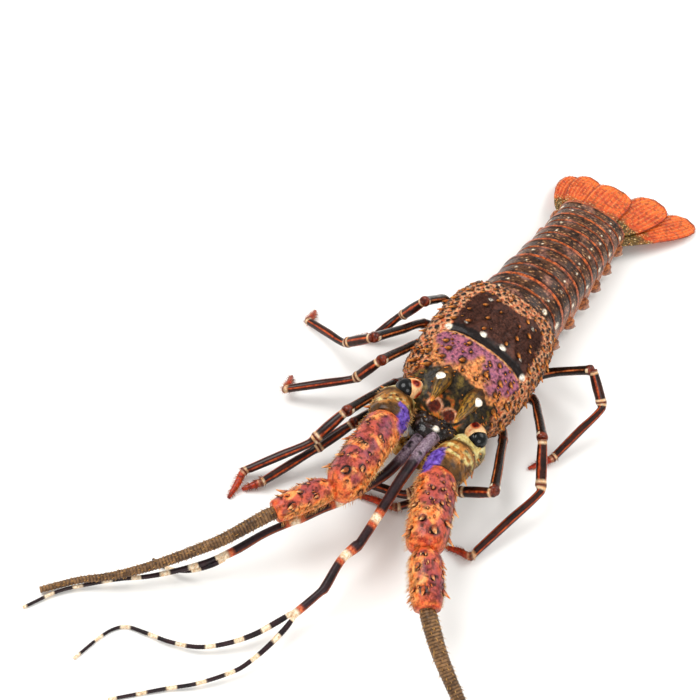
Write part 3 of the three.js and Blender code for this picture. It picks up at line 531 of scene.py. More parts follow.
# Each eye is a black, finely faceted cornea, hard as horn and set into a short stalk of cream shell with
# dark red patches. The stalk turns on soft skin between the shield and the face plate.
EYES = {"right": Vector((60.9, -20.3, 39)), "left": Vector((60.9, 22.5, 33))}
STALK_PATCHES = {
    "right": [Vector((58, -16.9, 43.3)), Vector((60.5, -12.5, 38.7))],
    "left": [Vector((58.1, 12.7, 34.4)), Vector((57.4, 18.4, 38.2))],
}
STALKS = {"right": Vector((51.5, -10.5, 36.5)), "left": Vector((51.5, 12.5, 33.2))}
STALK_PROFILE = [(-0.25, 3.2), (0, 3.6), (0.35, 4.4), (0.62, 5.3), (0.8, 5.6), (0.93, 5.35), (0.99, 4.6)]
EYE_RADIUS = 5.25
EYE_FLATNESS = 0.95
FACETS = 160
cornea_finish = shell_finish("cornea", (tone(3, 4, 4), tone(8, 10, 11)), [],
                             gloss=0.16, grain=2600, relief=0.08, wet=0.35, specks=0.2)
stalk_finish = shell_finish("eyestalk shell", (tone(252, 214, 160), tone(240, 170, 104)), [
    ("collar", tone(226, 96, 40), tone(206, 62, 30)),
    ("patch", tone(132, 16, 8), tone(60, 8, 6)),
], gloss=0.32, grain=500, specks=0.25)
for side, centre in EYES.items():
    eye = bmesh.new()
    bmesh.ops.create_uvsphere(eye, u_segments=64, v_segments=40, radius=EYE_RADIUS)
    for v in eye.verts:
        lean = v.co.normalized()
        facet = 0.02 * math.sin(lean.x * FACETS) * math.sin(lean.y * FACETS)
        v.co = Vector((v.co.x, v.co.y, v.co.z * EYE_FLATNESS)) + lean * facet
    bmesh.ops.translate(eye, vec=centre, verts=eye.verts)
    finished(f"cornea_{side}", eye, [f"eye_{side}"], "cornea", cornea_finish)
    rows = []
    for t, wide in STALK_PROFILE:
        middle = STALKS[side].lerp(centre, t)
        rows.append((middle.x, middle.y, middle.z, wide, wide * 0.94))
    stalk_place, _, _ = limb_surface(rows)
    stalk = ringed(50, 56, lambda t, turn, reach: stalk_place(
        t, turn, reach, 0.5 * noise.noise(Vector((math.sin(turn) * 1.4, math.cos(turn) * 1.4, t * 4)))))
    mask = masks_on(stalk, "patch", "collar")
    places = [(place, 2.1) for place in STALK_PATCHES[side]]
    patches = near_points(places, 0.75, 1.05)
    halos = near_points(places, 1.0, 1.6)
    for v in stalk.verts:
        v[mask["patch"]] = patches(v.co + Vector((0.4, 0.4, 0)) * noise.noise(v.co * 0.9))
        blush = ease(0.2, 0.5, noise.noise(v.co * 0.4)) * 0.7
        v[mask["collar"]] = max(blush, 1 - ease(0.1, 0.35, v[mask["along"]]), halos(v.co) * 0.9)
    finished(f"eyestalk_{side}_shell", stalk, [f"eyestalk_{side}"], "eyestalk_shell", stalk_finish)


# The face plate is a dark block of shell under the horns, with two brown lens-like windows, cream rims
# and one round white boss. It is fused to the head, and both pairs of feelers are jointed to it.
FACE_ROWS = [(54, 15, 37, 12), (61, 14.5, 36.5, 13), (67, 12.5, 36, 15), (72, 10, 35, 19),
             (75, 7.5, 33.5, 23)]
FACE_REAR = 54
FACE_FRONT = 75
FACE_MIDDLE_Y = 1.2


def face_point(t, turn, reach):
    x = mixed(FACE_REAR, FACE_FRONT, t)
    half = between(FACE_ROWS, x, 1)
    top = between(FACE_ROWS, x, 2)
    under = between(FACE_ROWS, x, 3)
    flat = math.copysign(abs(math.sin(turn)) ** 0.8, math.sin(turn))
    lift = math.copysign(abs(math.cos(turn)) ** 0.8, math.cos(turn))
    saddle = 1.4 * math.exp(-((turn / 0.35) ** 2)) * (1 - t)
    height = (top + under) / 2 + (lift * (top - under) / 2 - saddle) * reach
    return Vector((x, FACE_MIDDLE_Y + flat * half * reach, height))


face = ringed(90, 96, face_point)
mask = masks_on(face, "window", "rim", "boss", "lilac")
windows = [(face_point(0.25, 0.3, 1), 2.5), (face_point(0.25, -0.3, 1), 2.5)]
window_fill = near_points(windows)
window_rim = near_points([(co, radius * 1.35) for co, radius in windows])
boss_fill = near_points([(face_point(0.78, 0.12, 1), 1.7)])
for v in face.verts:
    v[mask["window"]] = window_fill(v.co)
    v[mask["rim"]] = window_rim(v.co) * (1 - v[mask["window"]])
    v[mask["boss"]] = boss_fill(v.co)
    v[mask["lilac"]] = ease(0.15, 0.5, noise.noise(v.co * 0.35)) * 0.7
    v.co += v.normal * (v[mask["window"]] * 0.9 + v[mask["boss"]] * 1.1 + noise.noise(v.co * 0.6) * 0.5)
for _ in range(26):
    t = draw.uniform(0.1, 0.8)
    turn = draw.uniform(-1.9, 1.9)
    foot = face_point(t, turn, 1)
    normal = (foot - face_point(t, turn, 0)).normalized()
    spike(face, foot, normal, Vector((0.8, 0, 0.3)), 0.6, draw.uniform(1.2, 2.4))
face_finish = shell_finish("face plate shell", (tone(44, 26, 14), tone(14, 10, 10)), [
    ("lilac", tone(96, 74, 70), tone(60, 40, 44)),
    ("rim", tone(248, 190, 130), tone(226, 130, 76)),
    ("window", tone(116, 34, 12), tone(70, 18, 8)),
    ("boss", tone(255, 250, 238), tone(250, 236, 212)),
    ("tip", tone(230, 130, 50), tone(246, 196, 110)),
], gloss=0.3, grain=500, relief=0.4, wet=0.4)
finished("face_plate", face, ["face"], "face_shell", face_finish)


# The long feelers are tubes of stout shell: a cream and yellow collar with a violet pad of soft skin
# inside it, two spiny segments, mauve above and orange inside, and a stiff whip of fine rings with small
# spines. Each is jointed into the one before it, and the collar into the face plate.
ANTENNAE = {  # x, y, z, half width
    "right": {
        "base": [(57, -18.5, 26, 7), (63, -20.5, 28.5, 9.6), (68, -21, 31, 10.4), (71, -20.8, 32.3, 9.4),
                 (77, -19.8, 34.2, 10.2), (82, -19, 35.6, 9.6), (84.6, -18.6, 36.4, 8.2)],
        "second": [(84.2, -18.7, 36.3, 8), (88, -18.3, 36.8, 9.6), (98, -18.1, 36.4, 9.9),
                   (108, -18, 35.8, 10), (118, -17.9, 35, 10.1), (126, -17.8, 34.3, 9.6),
                   (130.4, -18.8, 33.9, 8), (132.6, -20.2, 33.6, 5.6)],
        "third": [(131.8, -20.2, 33.6, 4.4), (136, -24, 33, 6.4), (143, -28.7, 31.8, 6.6),
                  (151, -33.2, 30.2, 6.2), (156.6, -36.5, 29.1, 5.2)],
        "whip": [(155.6, -35.8, 29.2, 3), (160, -38.5, 28.2, 3.3), (169, -43.4, 25.4, 3.1),
                 (179.5, -49.3, 22, 2.9), (191.9, -59, 17, 2.6), (201, -66.6, 13.4, 2.4),
                 (209.9, -74.8, 10, 2.2), (218, -83.3, 7.3, 1.9), (225.4, -92.6, 5, 1.7),
                 (232.5, -99.3, 3.4, 1.6), (238.5, -104.4, 2.4, 1.5)],
    },
    "left": {
        "base": [(57, 19, 21.5, 7), (62, 20, 23.5, 9.4), (66.5, 19.8, 25, 10.4), (70.5, 19.3, 26.2, 9.4),
                 (77, 18.6, 28.2, 10.4), (86, 17.8, 30.2, 10.2), (92.5, 17.6, 30.9, 8.6)],
        "second": [(92, 17.7, 30.9, 8.4), (96, 18.1, 31, 9.8), (104, 20.8, 30.9, 10.1),
                   (112, 23.6, 30.6, 10.2), (120, 26.3, 30.3, 10.2), (126.5, 28.5, 30.1, 9.8),
                   (130.6, 30, 30, 8.4), (132.6, 31, 29.9, 6.2)],
        "third": [(132, 30.7, 30, 5), (135.5, 33, 29.4, 7.4), (143, 37.8, 27.8, 8),
                  (150.5, 42.4, 26.2, 7.6), (155.8, 45.6, 25.1, 6)],
        "whip": [(155, 45, 25.2, 3.6), (158.4, 48.6, 24, 4.1), (167.6, 60.6, 18, 3.7),
                 (177.9, 77.3, 11.6, 3.1), (185.5, 90.5, 7.6, 2.7), (192, 103, 5.2, 2.3),
                 (198, 116, 3.6, 2), (203.5, 128.5, 2.4, 1.7)],
    },
}
ANTENNA_SPINES = {  # share of the length, degrees outwards from the top, radius, height
    "base": [(0.36, 60, 1.0, 2.7), (0.38, 110, 1.35, 4.4), (0.8, 85, 1.35, 4.4), (0.82, 20, 1.0, 2.7)],
    "second": [(0.2, 46, 1.0, 2.7), (0.24, 130, 1.0, 2.7), (0.32, -20, 1.0, 2.7), (0.42, 76, 1.35, 4.4),
               (0.48, 14, 1.0, 2.7), (0.52, -60, 1.0, 2.7), (0.57, 120, 1.35, 4.4),
               (0.68, 45, 1.35, 4.4), (0.72, -30, 1.35, 4.4), (0.78, 90, 1.35, 4.4), (0.84, 10, 1.75, 6),
               (0.86, -75, 1.35, 4.4)],
    "third": [(0.3, 60, 1.0, 2.7), (0.34, -40, 1.0, 2.7), (0.5, 110, 1.0, 2.7), (0.55, 5, 1.0, 2.7),
              (0.72, 70, 1.35, 4.4), (0.76, -30, 1.35, 4.4), (0.8, -110, 1.0, 2.7),
              (0.84, 140, 1.0, 2.7)],
}
base_finish = shell_finish("feeler collar shell", (tone(206, 136, 62), tone(128, 84, 34)), [
    ("cream", tone(232, 220, 158), tone(198, 172, 92)),
    ("dark", tone(20, 14, 6), tone(74, 48, 18)),
    ("violet", tone(132, 100, 206), tone(72, 40, 134)),
    ("tip", tone(226, 104, 34), tone(250, 190, 110)),
], gloss=0.34, grain=450)
peduncle_finish = shell_finish("feeler segment shell", (tone(206, 92, 62), tone(134, 60, 74)), [
    ("warm", tone(236, 112, 44), tone(252, 176, 100)),
    ("dark", tone(64, 42, 16), tone(14, 8, 5)),
    ("band", tone(206, 66, 28), tone(240, 128, 60)),
    ("violet", tone(132, 100, 206), tone(72, 40, 134)),
    ("socket", tone(5, 3, 6), tone(18, 9, 8)),
    ("tip", tone(236, 128, 42), tone(255, 208, 140)),
], gloss=0.33, grain=420, specks=0.7)
whip_finish = shell_finish("feeler whip shell", (tone(146, 108, 70), tone(96, 68, 42)), [
    ("groove", tone(34, 22, 12), tone(66, 46, 28)),
    ("tip", tone(236, 160, 60), tone(250, 200, 110)),
], gloss=0.45, grain=600)
SMALL_SPINES = {"second": 46, "third": 26, "base": 18}
WHIP_RING = 1.5
SPINULE_STEP = 2.4


def feeler_segment(name, part, side):
    """The collar or one of the two spiny segments of a long feeler, with turns counted outwards."""
    sign = 1 if side == "left" else -1
    place, at, _ = limb_surface(ANTENNAE[side][part])
    bulge = 0.35 if part == "base" else 0.0
    bm = ringed(90, 72, lambda t, turn, reach: place(
        t, turn, reach, bulge * math.sin(t * 15) + 0.25 * noise.noise(place(t, turn, 1) * 0.35)))
    feet = [(t, math.radians(a * sign + draw.uniform(-5, 5)), r, h) for t, a, r, h in ANTENNA_SPINES[part]]
    for _ in range(SMALL_SPINES[part]):
        t = draw.uniform(0.12, 0.92)
        turn = sign * draw.uniform(-1.6, 2.6)
        feet.append((t, turn, draw.uniform(0.4, 0.8), draw.uniform(1.3, 2.6)))
    dark_rings = near_points([(place(t, turn, 1), r * 1.7) for t, turn, r, _ in feet])
    mask = masks_on(bm, "cream", "dark", "violet", "warm", "band", "socket")
    for v in bm.verts:
        t = v[mask["along"]]
        turn = v[mask["around"]] * sign
        wave = noise.noise(v.co * 0.18) * 0.5 + noise.noise(v.co * 0.6) * 0.2
        outer = ease(0.9, 1.5, turn + wave)
        inner = ease(0.5, 1.2, -turn + wave) * (1 - ease(2.4, 2.9, abs(turn)))
        if part == "base":
            crescent = ease(0.08, 0.14, t) * (1 - ease(0.4, 0.46, t + wave * 0.06))
            knob = ease(0.55, 0.6, t) * (1 - ease(0.74, 0.8, t + wave * 0.2))
            crease = math.exp(-(((t - 0.47) / 0.05) ** 2)) + ease(0.82, 0.9, t + wave * 0.1)
            stain = ease(0.2, 0.4, noise.noise(v.co * 0.4)) * (1 - crescent) * 0.9
            v[mask["cream"]] = max(crescent, knob * ease(-0.2, 0.2, noise.noise(v.co * 0.35)))
            v[mask["dark"]] = max(outer * 0.9, crease * 0.85, stain)
            facing_in = ease(0.3, 0.5, -turn + wave * 0.6) * (1 - ease(2.3, 2.6, -turn))
            v[mask["violet"]] = ease(0.66, 0.76, t) * facing_in
        else:
            patch = ease(0.12, 0.34, noise.noise(v.co * 0.16 + Vector((7, 3, 1))))
            if part == "second":
                facing_in = ease(0.5, 0.8, -turn) * (1 - ease(2.2, 2.5, -turn))
                v[mask["violet"]] = (1 - ease(0.07, 0.13, t + wave * 0.05)) * facing_in
            v[mask["warm"]] = max(inner, patch * 0.85)
            v[mask["dark"]] = max(outer * 0.9, ease(0.3, 0.45, noise.noise(v.co * 0.5)) * 0.8)
            v[mask["band"]] = max(1 - ease(0.03, 0.1, t), ease(0.86, 0.97, t)) * 0.8
            v[mask["socket"]] = dark_rings(v.co)
        lumps = v[mask["violet"]] * (0.4 + 0.9 * noise.noise(v.co * 0.5))
        v.co += v.normal * (dark_rings(v.co) * 0.35 + noise.noise(v.co * 1.5) * 0.12 + lumps)
    for t, turn, radius, height in feet:
        foot = place(t, turn, 1)
        middle, _, _, way, _, _ = at(t)
        spike(bm, foot, (foot - middle).normalized(), way, radius, height)
    finish = base_finish if part == "base" else peduncle_finish
    finished(name, bm, [f"antenna_{part}_{side}"], "antenna_shell", finish)


for side in ("right", "left"):
    for part in ("base", "second", "third"):
        feeler_segment(f"feeler_{part}_{side}", part, side)
    whip_place, whip_at, whip_length = limb_surface(ANTENNAE[side]["whip"])
    rings = 4 * int(whip_length / WHIP_RING)
    whip = ringed(rings, 16, lambda t, turn, reach: whip_place(
        t, turn, reach, 0.13 * math.sin(t * whip_length / WHIP_RING * math.tau) - 0.1))
    mask = masks_on(whip, "groove")
    for v in whip.verts:
        ring = math.sin(v[mask["along"]] * whip_length / WHIP_RING * math.tau)
        v[mask["groove"]] = ease(0.1, 0.9, -ring) * 0.8
    for step in range(int(whip_length / SPINULE_STEP)):
        for turn in (draw.uniform(-2.4, -0.6), draw.uniform(-0.5, 0.5), draw.uniform(0.6, 2.4)):
            t = min(0.985, (step + draw.random()) * SPINULE_STEP / whip_length)
            middle, _, _, way, wide, _ = whip_at(t)
            foot = whip_place(t, turn, 1)
            spike(whip, foot, (foot - middle).normalized(), way, 0.28, wide * 0.38, 4)
    finished(f"feeler_whip_{side}", whip, [f"antenna_whip_{side}"], "whip_shell", whip_finish)


# The inner feelers are thin tubes of shell, each a three-jointed stalk with a grey-lilac first joint and
# two bending threads, all banded in dark violet and cream. They are jointed to the middle of the face.
ANTENNULES = {  # x, y, z, half width
    "right": {
        "stalk": [(72, -2, 28, 3.2), (84, -3, 26.5, 3), (100, -5.5, 23.6, 2.7), (112, -10, 21.8, 2.6),
                  (123.6, -15.2, 20, 2.3), (125.6, -16.4, 19.8, 2.7), (135, -21.6, 19, 2.2),
                  (145.5, -27.5, 18, 2.4), (147.5, -28.7, 17.8, 2), (160.7, -36.5, 16, 1.9),
                  (173.9, -42.5, 13.8, 2.1), (182, -46.7, 12.6, 1.9)],
        "outer": [(181.2, -46.9, 12.8, 1.2), (188, -51.6, 10.8, 1.4), (199.4, -61.7, 8, 1.25),
                  (207, -69.8, 6, 1.1), (214.2, -78.9, 4.5, 1), (224, -88.9, 3, 0.9),
                  (233.9, -97.5, 2, 0.8), (248.9, -105.3, 0.8, 0.7)],
        "inner": [(181.6, -44.9, 12.6, 1.1), (186.4, -48.4, 10, 1.2), (191.9, -54.6, 6.6, 1.1),
                  (194.8, -61, 3.8, 1), (195.7, -67, 1.9, 0.9), (195, -74, 0.8, 0.7)],
    },
    "left": {
        "stalk": [(73, 4.5, 32, 3.3), (84, 3.2, 32.8, 3.1), (103.8, 2.8, 31, 2.8), (118, 3, 28, 2.6),
                  (142.5, 3.2, 23, 2.3), (144.5, 2.7, 22.5, 2.7), (153.2, 0.2, 20, 2.1),
                  (169.3, 0.8, 16, 2.3), (171.4, 0.2, 15.4, 1.9), (179, -2.2, 12.7, 1.9),
                  (186.4, -4.8, 10, 2)],
        "outer": [(185.4, -5.6, 10.2, 1.2), (192, -8.8, 8.6, 1.4), (202.6, -14.4, 6.6, 1.25),
                  (213, -22.6, 4.8, 1.1), (220.9, -31.9, 3.6, 1), (225.6, -43.8, 2.4, 0.95),
                  (227.8, -55.1, 1.5, 0.9), (230.4, -64, 0.9, 0.8), (237.2, -68.7, 0.8, 0.7),
                  (255.4, -72.7, 0.8, 0.7)],
        "inner": [(185.6, -3.8, 10, 1.1), (193, -4.2, 8.8, 1.3), (203.4, -6, 7, 1.2),
                  (212.5, -8.4, 5.8, 1.1), (220.8, -11.8, 4.6, 1), (235.1, -22.6, 2.9, 0.9),
                  (244.4, -32.7, 1.4, 0.85), (253, -41, 0.9, 0.8), (262.1, -49.6, 0.8, 0.7)],
    },
}
thread_finish = shell_finish("inner feeler shell", (tone(48, 26, 30), tone(22, 12, 16)), [
    ("stripe", tone(206, 100, 44), tone(150, 60, 30)),
    ("lilac", tone(160, 140, 150), tone(112, 90, 106)),
    ("cream", tone(250, 236, 208), tone(230, 190, 146)),
    ("joint", tone(176, 60, 34), tone(226, 120, 70)),
], gloss=0.36, grain=900, specks=0.4)
ANTENNULE_NODES = {"stalk": "antennule", "outer": "flagellum_outer", "inner": "flagellum_inner"}
STALK_JOINTS = (0.48, 0.68, 0.99)
THREAD_RING = 1.3
THREAD_BAND = 13
for side in ("right", "left"):
    for part, node_name in ANTENNULE_NODES.items():
        place, _, length = limb_surface(ANTENNULES[side][part])
        fine = 0.0 if part == "stalk" else 0.05
        bm = ringed(max(60, int(length / 0.55)), 20, lambda t, turn, reach: place(
            t, turn, reach, fine * math.sin(t * length / THREAD_RING * math.tau)))
        mask = masks_on(bm, "stripe", "cream", "joint", "lilac")
        for v in bm.verts:
            t = v[mask["along"]]
            if part == "stalk":
                ends = min(abs(t - joint) for joint in STALK_JOINTS)
                v[mask["lilac"]] = (1 - ease(0.14, 0.2, t)) * ease(0.1, 0.5, 0.6 + noise.noise(v.co * 0.4))
                v[mask["cream"]] = 1 - ease(0.012, 0.03, ends)
                v[mask["joint"]] = (1 - ease(0.03, 0.05, ends)) * (1 - v[mask["cream"]])
                v[mask["stripe"]] = (1 - ease(0.1, 0.3, abs(abs(v[mask["around"]]) - 1.2))) * 0.7
            else:
                v[mask["cream"]] = ease(0.0, 0.25, math.sin(t * length / THREAD_BAND * math.tau + 1.2) - 0.35)
        finished(f"{node_name}_{side}_shell", bm, [f"{node_name}_{side}"], "antennule_shell", thread_finish)


# The mouth legs are short folded limbs of lumpy yellow-brown shell, with two palps beside each. They are
# jointed to the front end of the breast plate and close up under the face plate.
MOUTH_LEG = [  # x, y, z, half width
    (40, 6.5, 7, 3.4), (46, 6.8, 6.4, 4), (56, 7.4, 7.2, 4.1), (65, 7.6, 9, 3.6), (71, 7, 12, 3.9),
    (75, 5.6, 17, 3.2), (76.5, 4.6, 21, 2),
]
PALPS = [
    [(67, 5.5, 12, 2.2), (72, 8.4, 15, 2.9), (77, 9.2, 17, 2.9), (81, 8.2, 18.4, 2.3), (83.6, 6.4, 19, 1.3)],
    [(69, 2.2, 12, 2), (74, 3.6, 14.6, 2.7), (79, 4.2, 16, 2.6), (83, 3.4, 17.4, 1.5)],
]
LEG_LUMPS = 21
PALP_LUMPS = 17
mouth_finish = shell_finish("mouth leg shell", (tone(196, 136, 50), tone(150, 86, 30)), [
    ("pale", tone(244, 200, 110), tone(222, 160, 70)),
    ("dark", tone(50, 28, 12), tone(104, 60, 26)),
], gloss=0.36, grain=420)
for side, sign in (("right", -1), ("left", 1)):
    place, _, _ = limb_surface([(x, y * sign, z, radius) for x, y, z, radius in MOUTH_LEG])
    bm = ringed(100, 36, lambda t, turn, reach: place(t, turn, reach, 0.7 * math.sin(t * LEG_LUMPS) - 0.4))
    mask = masks_on(bm, "pale", "dark")
    for v in bm.verts:
        v[mask["pale"]] = ease(0, 0.6, math.sin(v[mask["along"]] * LEG_LUMPS + 0.6))
        v[mask["dark"]] = ease(0.1, 0.45, noise.noise(v.co * 0.55))
        v.co += v.normal * noise.noise(v.co * 0.9) * 0.3
    for palp in PALPS:
        palp_place, _, _ = limb_surface([(x, y * sign, z, radius) for x, y, z, radius in palp])
        fresh = ringed_on(bm, 44, 26, lambda t, turn, reach: palp_place(
            t, turn, reach, 0.7 * math.sin(t * PALP_LUMPS)))
        for v in fresh:
            v[mask["pale"]] = ease(-0.3, 0.5, math.sin(v[mask["along"]] * PALP_LUMPS))
            v[mask["dark"]] = ease(0.15, 0.4, noise.noise(v.co * 0.6))
    finished(f"mouth_leg_{side}_shell", bm, [f"mouth_leg_{side}"], "mouth_shell", mouth_finish)


# The ten walking legs are slim tubes of shell, each a long dark thigh with pale stripes and a lower part
# that ends in an orange-red claw. They are jointed to the breast plate's edges and bend at the cream and
# orange rings. Each leg gives the middle points of its thigh and of its lower part.
LEGS = {
    "right_1": ([(36, -15, 8), (42, -20.5, 9.6), (51.1, -25.8, 14), (67, -30, 18.5), (84.4, -34.3, 22)],
                [(84.4, -34.3, 22), (100, -42.6, 12.4), (103.6, -44.4, 10.7), (130, -55.7, 4.5),
                 (137.2, -62, 0.8)]),
    "right_2": ([(24, -16, 8), (30, -23.6, 10.6), (44.9, -30.2, 18), (66, -34.4, 25.6), (88.7, -38.5, 33)],
                [(88.7, -38.5, 33), (102.5, -44.4, 21.6), (106, -46, 19), (129.7, -65.8, 4.8),
                 (145.5, -64.5, 0.8)]),
    "right_3": ([(10, -17, 8), (10, -24.4, 10.4), (11, -32.2, 17.6), (29, -36.2, 26), (49.7, -40.3, 34)],
                [(49.7, -40.3, 34), (54.8, -47.6, 20), (56, -49.7, 17.4), (75.3, -75.7, 7.5),
                 (61.4, -79.6, 0.8)]),
    "right_4": ([(-6, -17, 8), (-6.4, -25, 10.6), (-4, -36.3, 17.6), (16, -43.6, 25.4), (38, -51.3, 33)],
                [(38, -51.3, 33), (37.5, -63, 20), (37.2, -65.6, 17.4), (26.2, -90.9, 5.4),
                 (13.5, -93.5, 0.8)]),
    "right_5": ([(-20, -15, 9), (-24, -24, 12), (-26.6, -36, 18), (-15, -38.8, 26.4), (-1.9, -41.6, 34)],
                [(-1.9, -41.6, 34), (0.2, -49, 19.6), (0.9, -50.8, 17), (11.6, -57.4, 5.4),
                 (16.8, -67, 0.8)]),
    "left_1": ([(36, 14, 6.5), (44, 18, 6.5), (56, 17.4, 7), (70, 15, 9.5), (84, 12, 15)],
               [(84, 12, 15), (97.5, 8, 14.6), (99.4, 5, 13.6), (100.6, -15.1, 7.2), (101.2, -30, 0.8)]),
    "left_2": ([(24, 15, 6), (26, 23, 6.8), (29.6, 29.6, 11), (54, 36.6, 19.6), (80.6, 43.2, 28)],
               [(80.6, 43.2, 28), (79.6, 29, 14.2), (80.6, 25.4, 11.8), (100.9, 5.7, 4.6),
                (105.6, -18.6, 0.8)]),
    "left_3": ([(9, 16, 6), (3, 25, 7), (0.6, 33.3, 13), (17, 41.5, 21.6), (35.8, 49.8, 29)],
               [(35.8, 49.8, 29), (52.4, 60.6, 17), (55.6, 62.1, 15.6), (102.3, 49.2, 4.4),
                (103.8, 35.6, 0.8)]),
    "left_4": ([(-8, 16, 6.5), (-17, 25, 8), (-23.5, 34.5, 13), (-23.6, 43.6, 21.6), (-22.9, 53.4, 31)],
               [(-22.9, 53.4, 31), (-17, 65.6, 18.8), (-14.6, 67.5, 16.6), (21.5, 58.7, 4.6),
                (33.6, 50.6, 0.8)]),
    "left_5": ([(-18, 13, 6), (-27, 16.4, 4.6), (-38, 18, 4.2), (-49, 18.6, 4), (-60, 18.8, 3.9)],
               [(-60, 18.8, 3.9), (-65.4, 12, 3.2), (-64.6, 8.6, 3), (-48, 1.4, 2.4), (-39, -3.4, 0.8)]),
}
UPPER_RADII = (3.8, 3.6, 2.8, 2.6, 2.8)
HIP_AT = 0.36
KNEE_AT = 0.965
FLOOR_GAP = 0.02
thigh_finish = shell_finish("thigh shell", (tone(34, 18, 12), tone(14, 8, 7)), [
    ("stripe", tone(236, 150, 90), tone(206, 88, 36)),
    ("joint", tone(132, 50, 24), tone(60, 20, 12)),
    ("cream", tone(255, 242, 214), tone(244, 206, 156)),
], gloss=0.3, grain=500, relief=0.35, wet=0.35, specks=0.5)
foot_finish = shell_finish("lower leg shell", (tone(60, 24, 12), tone(24, 11, 9)), [
    ("stripe", tone(214, 92, 38), tone(150, 46, 20)),
    ("joint", tone(126, 46, 22), tone(60, 20, 12)),
    ("cream", tone(250, 226, 186), tone(232, 170, 112)),
    ("claw", tone(200, 62, 22), tone(120, 28, 12)),
], gloss=0.34, grain=500, relief=0.4, wet=0.25, specks=0.5)
bristle_roots = {group: [] for group in ("claw", "tail", "fan", "feeler", "shield", "pile")}


def stepped(a, b, share, radius):
    """A row of a limb at a share of the way from one point to another."""
    return (*[mixed(a[k], b[k], share) for k in range(3)], radius)


def knot(t, centre, width):
    """1 at a joint of a leg, falling to 0 a little way off."""
    return math.exp(-(((t - centre) / width) ** 2))


def thigh(name, points):
    place, _, _ = limb_surface([(*point, radius) for point, radius in zip(points, UPPER_RADII)])
    bm = ringed(90, 40, lambda t, turn, reach: place(
        t, turn, reach, 0.35 * knot(t, KNEE_AT, 0.03) + 0.4 * knot(t, HIP_AT, 0.02)
        - 0.15 + (-0.9 if t > 0.995 else 0)))
    mask = masks_on(bm, "stripe", "joint", "cream")
    for v in bm.verts:
        t, turn = v[mask["along"]], v[mask["around"]]
        wave = noise.noise(v.co * 0.3)
        line = min(abs(turn - 0.85), abs(turn + 0.85), abs(abs(turn) - 2.4))
        v[mask["stripe"]] = (1 - ease(0.06, 0.2, line + wave * 0.1)) * (1 - ease(0.9, 0.94, t)) * 0.9
        v[mask["joint"]] = max(ease(0.945, 0.97, t), knot(t, HIP_AT, 0.02) * 0.7)
        on_dot = abs(t - 0.955) < 0.02 and min(abs(turn - 1.1), abs(turn + 1.1)) < 0.4
        v[mask["cream"]] = 1.0 if on_dot else 0.0
    finished(f"thigh_{name}", bm, [f"leg_upper_{name}"], "leg_shell", thigh_finish)


def lower_leg(name, points):
    knee, wrist, hand, ankle, tip = points
    rows = [
        (*knee, 2.3), stepped(knee, wrist, 0.5, 2.8), (*wrist, 2.6), (*hand, 2.1),
        stepped(hand, ankle, 0.45, 2.3), stepped(hand, ankle, 0.92, 2.1), stepped(hand, ankle, 1.02, 1.9),
        stepped(ankle, tip, 0.45, 1.7), (*tip, 0.85),
    ]
    place, at, length = limb_surface(rows)
    share = [0.0]
    for a, b in zip(rows, rows[1:]):
        share.append(share[-1] + (Vector(b[:3]) - Vector(a[:3])).length / length)
    wrist_at, ankle_at = share[2], share[6]
    bm = ringed(120, 36, lambda t, turn, reach: place(
        t, turn, reach, 0.4 * knot(t, wrist_at, 0.02) + 0.35 * knot(t, ankle_at, 0.012)))
    mask = masks_on(bm, "stripe", "joint", "cream", "claw")
    for v in bm.verts:
        t, turn = v[mask["along"]], v[mask["around"]]
        wave = noise.noise(v.co * 0.3)
        line = min(abs(turn - 0.8), abs(turn + 0.8), abs(abs(turn) - 2.3))
        near_joint = min(abs(t - wrist_at), abs(t - ankle_at), t)
        v[mask["stripe"]] = (1 - ease(0.1, 0.26, line + wave * 0.12)) * 0.9
        v[mask["joint"]] = 1 - ease(0.012, 0.03, near_joint)
        v[mask["cream"]] = (1 - ease(0.004, 0.012, abs(near_joint - 0.018))) * 0.9
        v[mask["claw"]] = ease(ankle_at - 0.01, ankle_at + 0.04, t)
        v.co.z = max(FLOOR_GAP, v.co.z)
    finished(f"lower_leg_{name}", bm, [f"leg_lower_{name}"], "foot_shell", foot_finish)
    for _ in range(150):
        t = draw.uniform(ankle_at - 0.04, 0.985)
        foot = place(t, draw.uniform(-math.pi, math.pi), 1)
        middle, _, _, way, _, _ = at(t)
        bristle_roots["claw"].append((foot, (foot - middle).normalized(), way, draw.uniform(1.0, 2.1), 0.16))


for name, (upper, lower) in LEGS.items():
    thigh(name, upper)
    lower_leg(name, lower)


# The tail's six plates are rings of shell, each with a furrow across, orange lines, small white spots and a
# hooked tan flap down each side. Each slides under the one before it and is hinged to it at the sides,
# and four of them carry a pair of soft paddles below.
TAIL = [  # front, rear, and from front to rear: middle y, half width, top; underside
    (-31.4, -52, (0, 1.6), (23.6, 24.6), (39, 40.8), 10.4),
    (-52.3, -73, (1.6, 3.2), (23.4, 24), (38.6, 39.6), 9.6),
    (-73.3, -93, (3.2, 4.8), (22.8, 23.2), (37.4, 37.8), 9),
    (-93.3, -111, (4.8, 5.9), (22, 22.3), (35.6, 35.2), 8.6),
    (-111.3, -129, (5.9, 6.4), (21, 21.6), (33, 32), 8.2),
    (-129.3, -149, (6.4, 6.6), (20.6, 21), (29.8, 26), 8),
]
tail_finish = shell_finish("tail plate shell", (tone(92, 56, 32), tone(44, 26, 16)), [
    # pink_sheen: pinkish-grey patches strewn at random, a painted sheen that stands in for the shell's
    # reflections
    ("pink_sheen", tone(176, 122, 104), tone(110, 70, 60)),
    ("flap", tone(206, 122, 58), tone(140, 70, 32)),
    ("line", tone(222, 110, 44), tone(150, 60, 26)),
    ("shade", tone(12, 7, 6), tone(40, 20, 12)),
    ("belly", tone(214, 172, 126), tone(186, 130, 88)),
    ("fleck", tone(226, 170, 116), tone(180, 120, 78)),
    ("dot", tone(255, 246, 226), tone(246, 226, 190)),
], gloss=0.32, grain=520, specks=0.9)
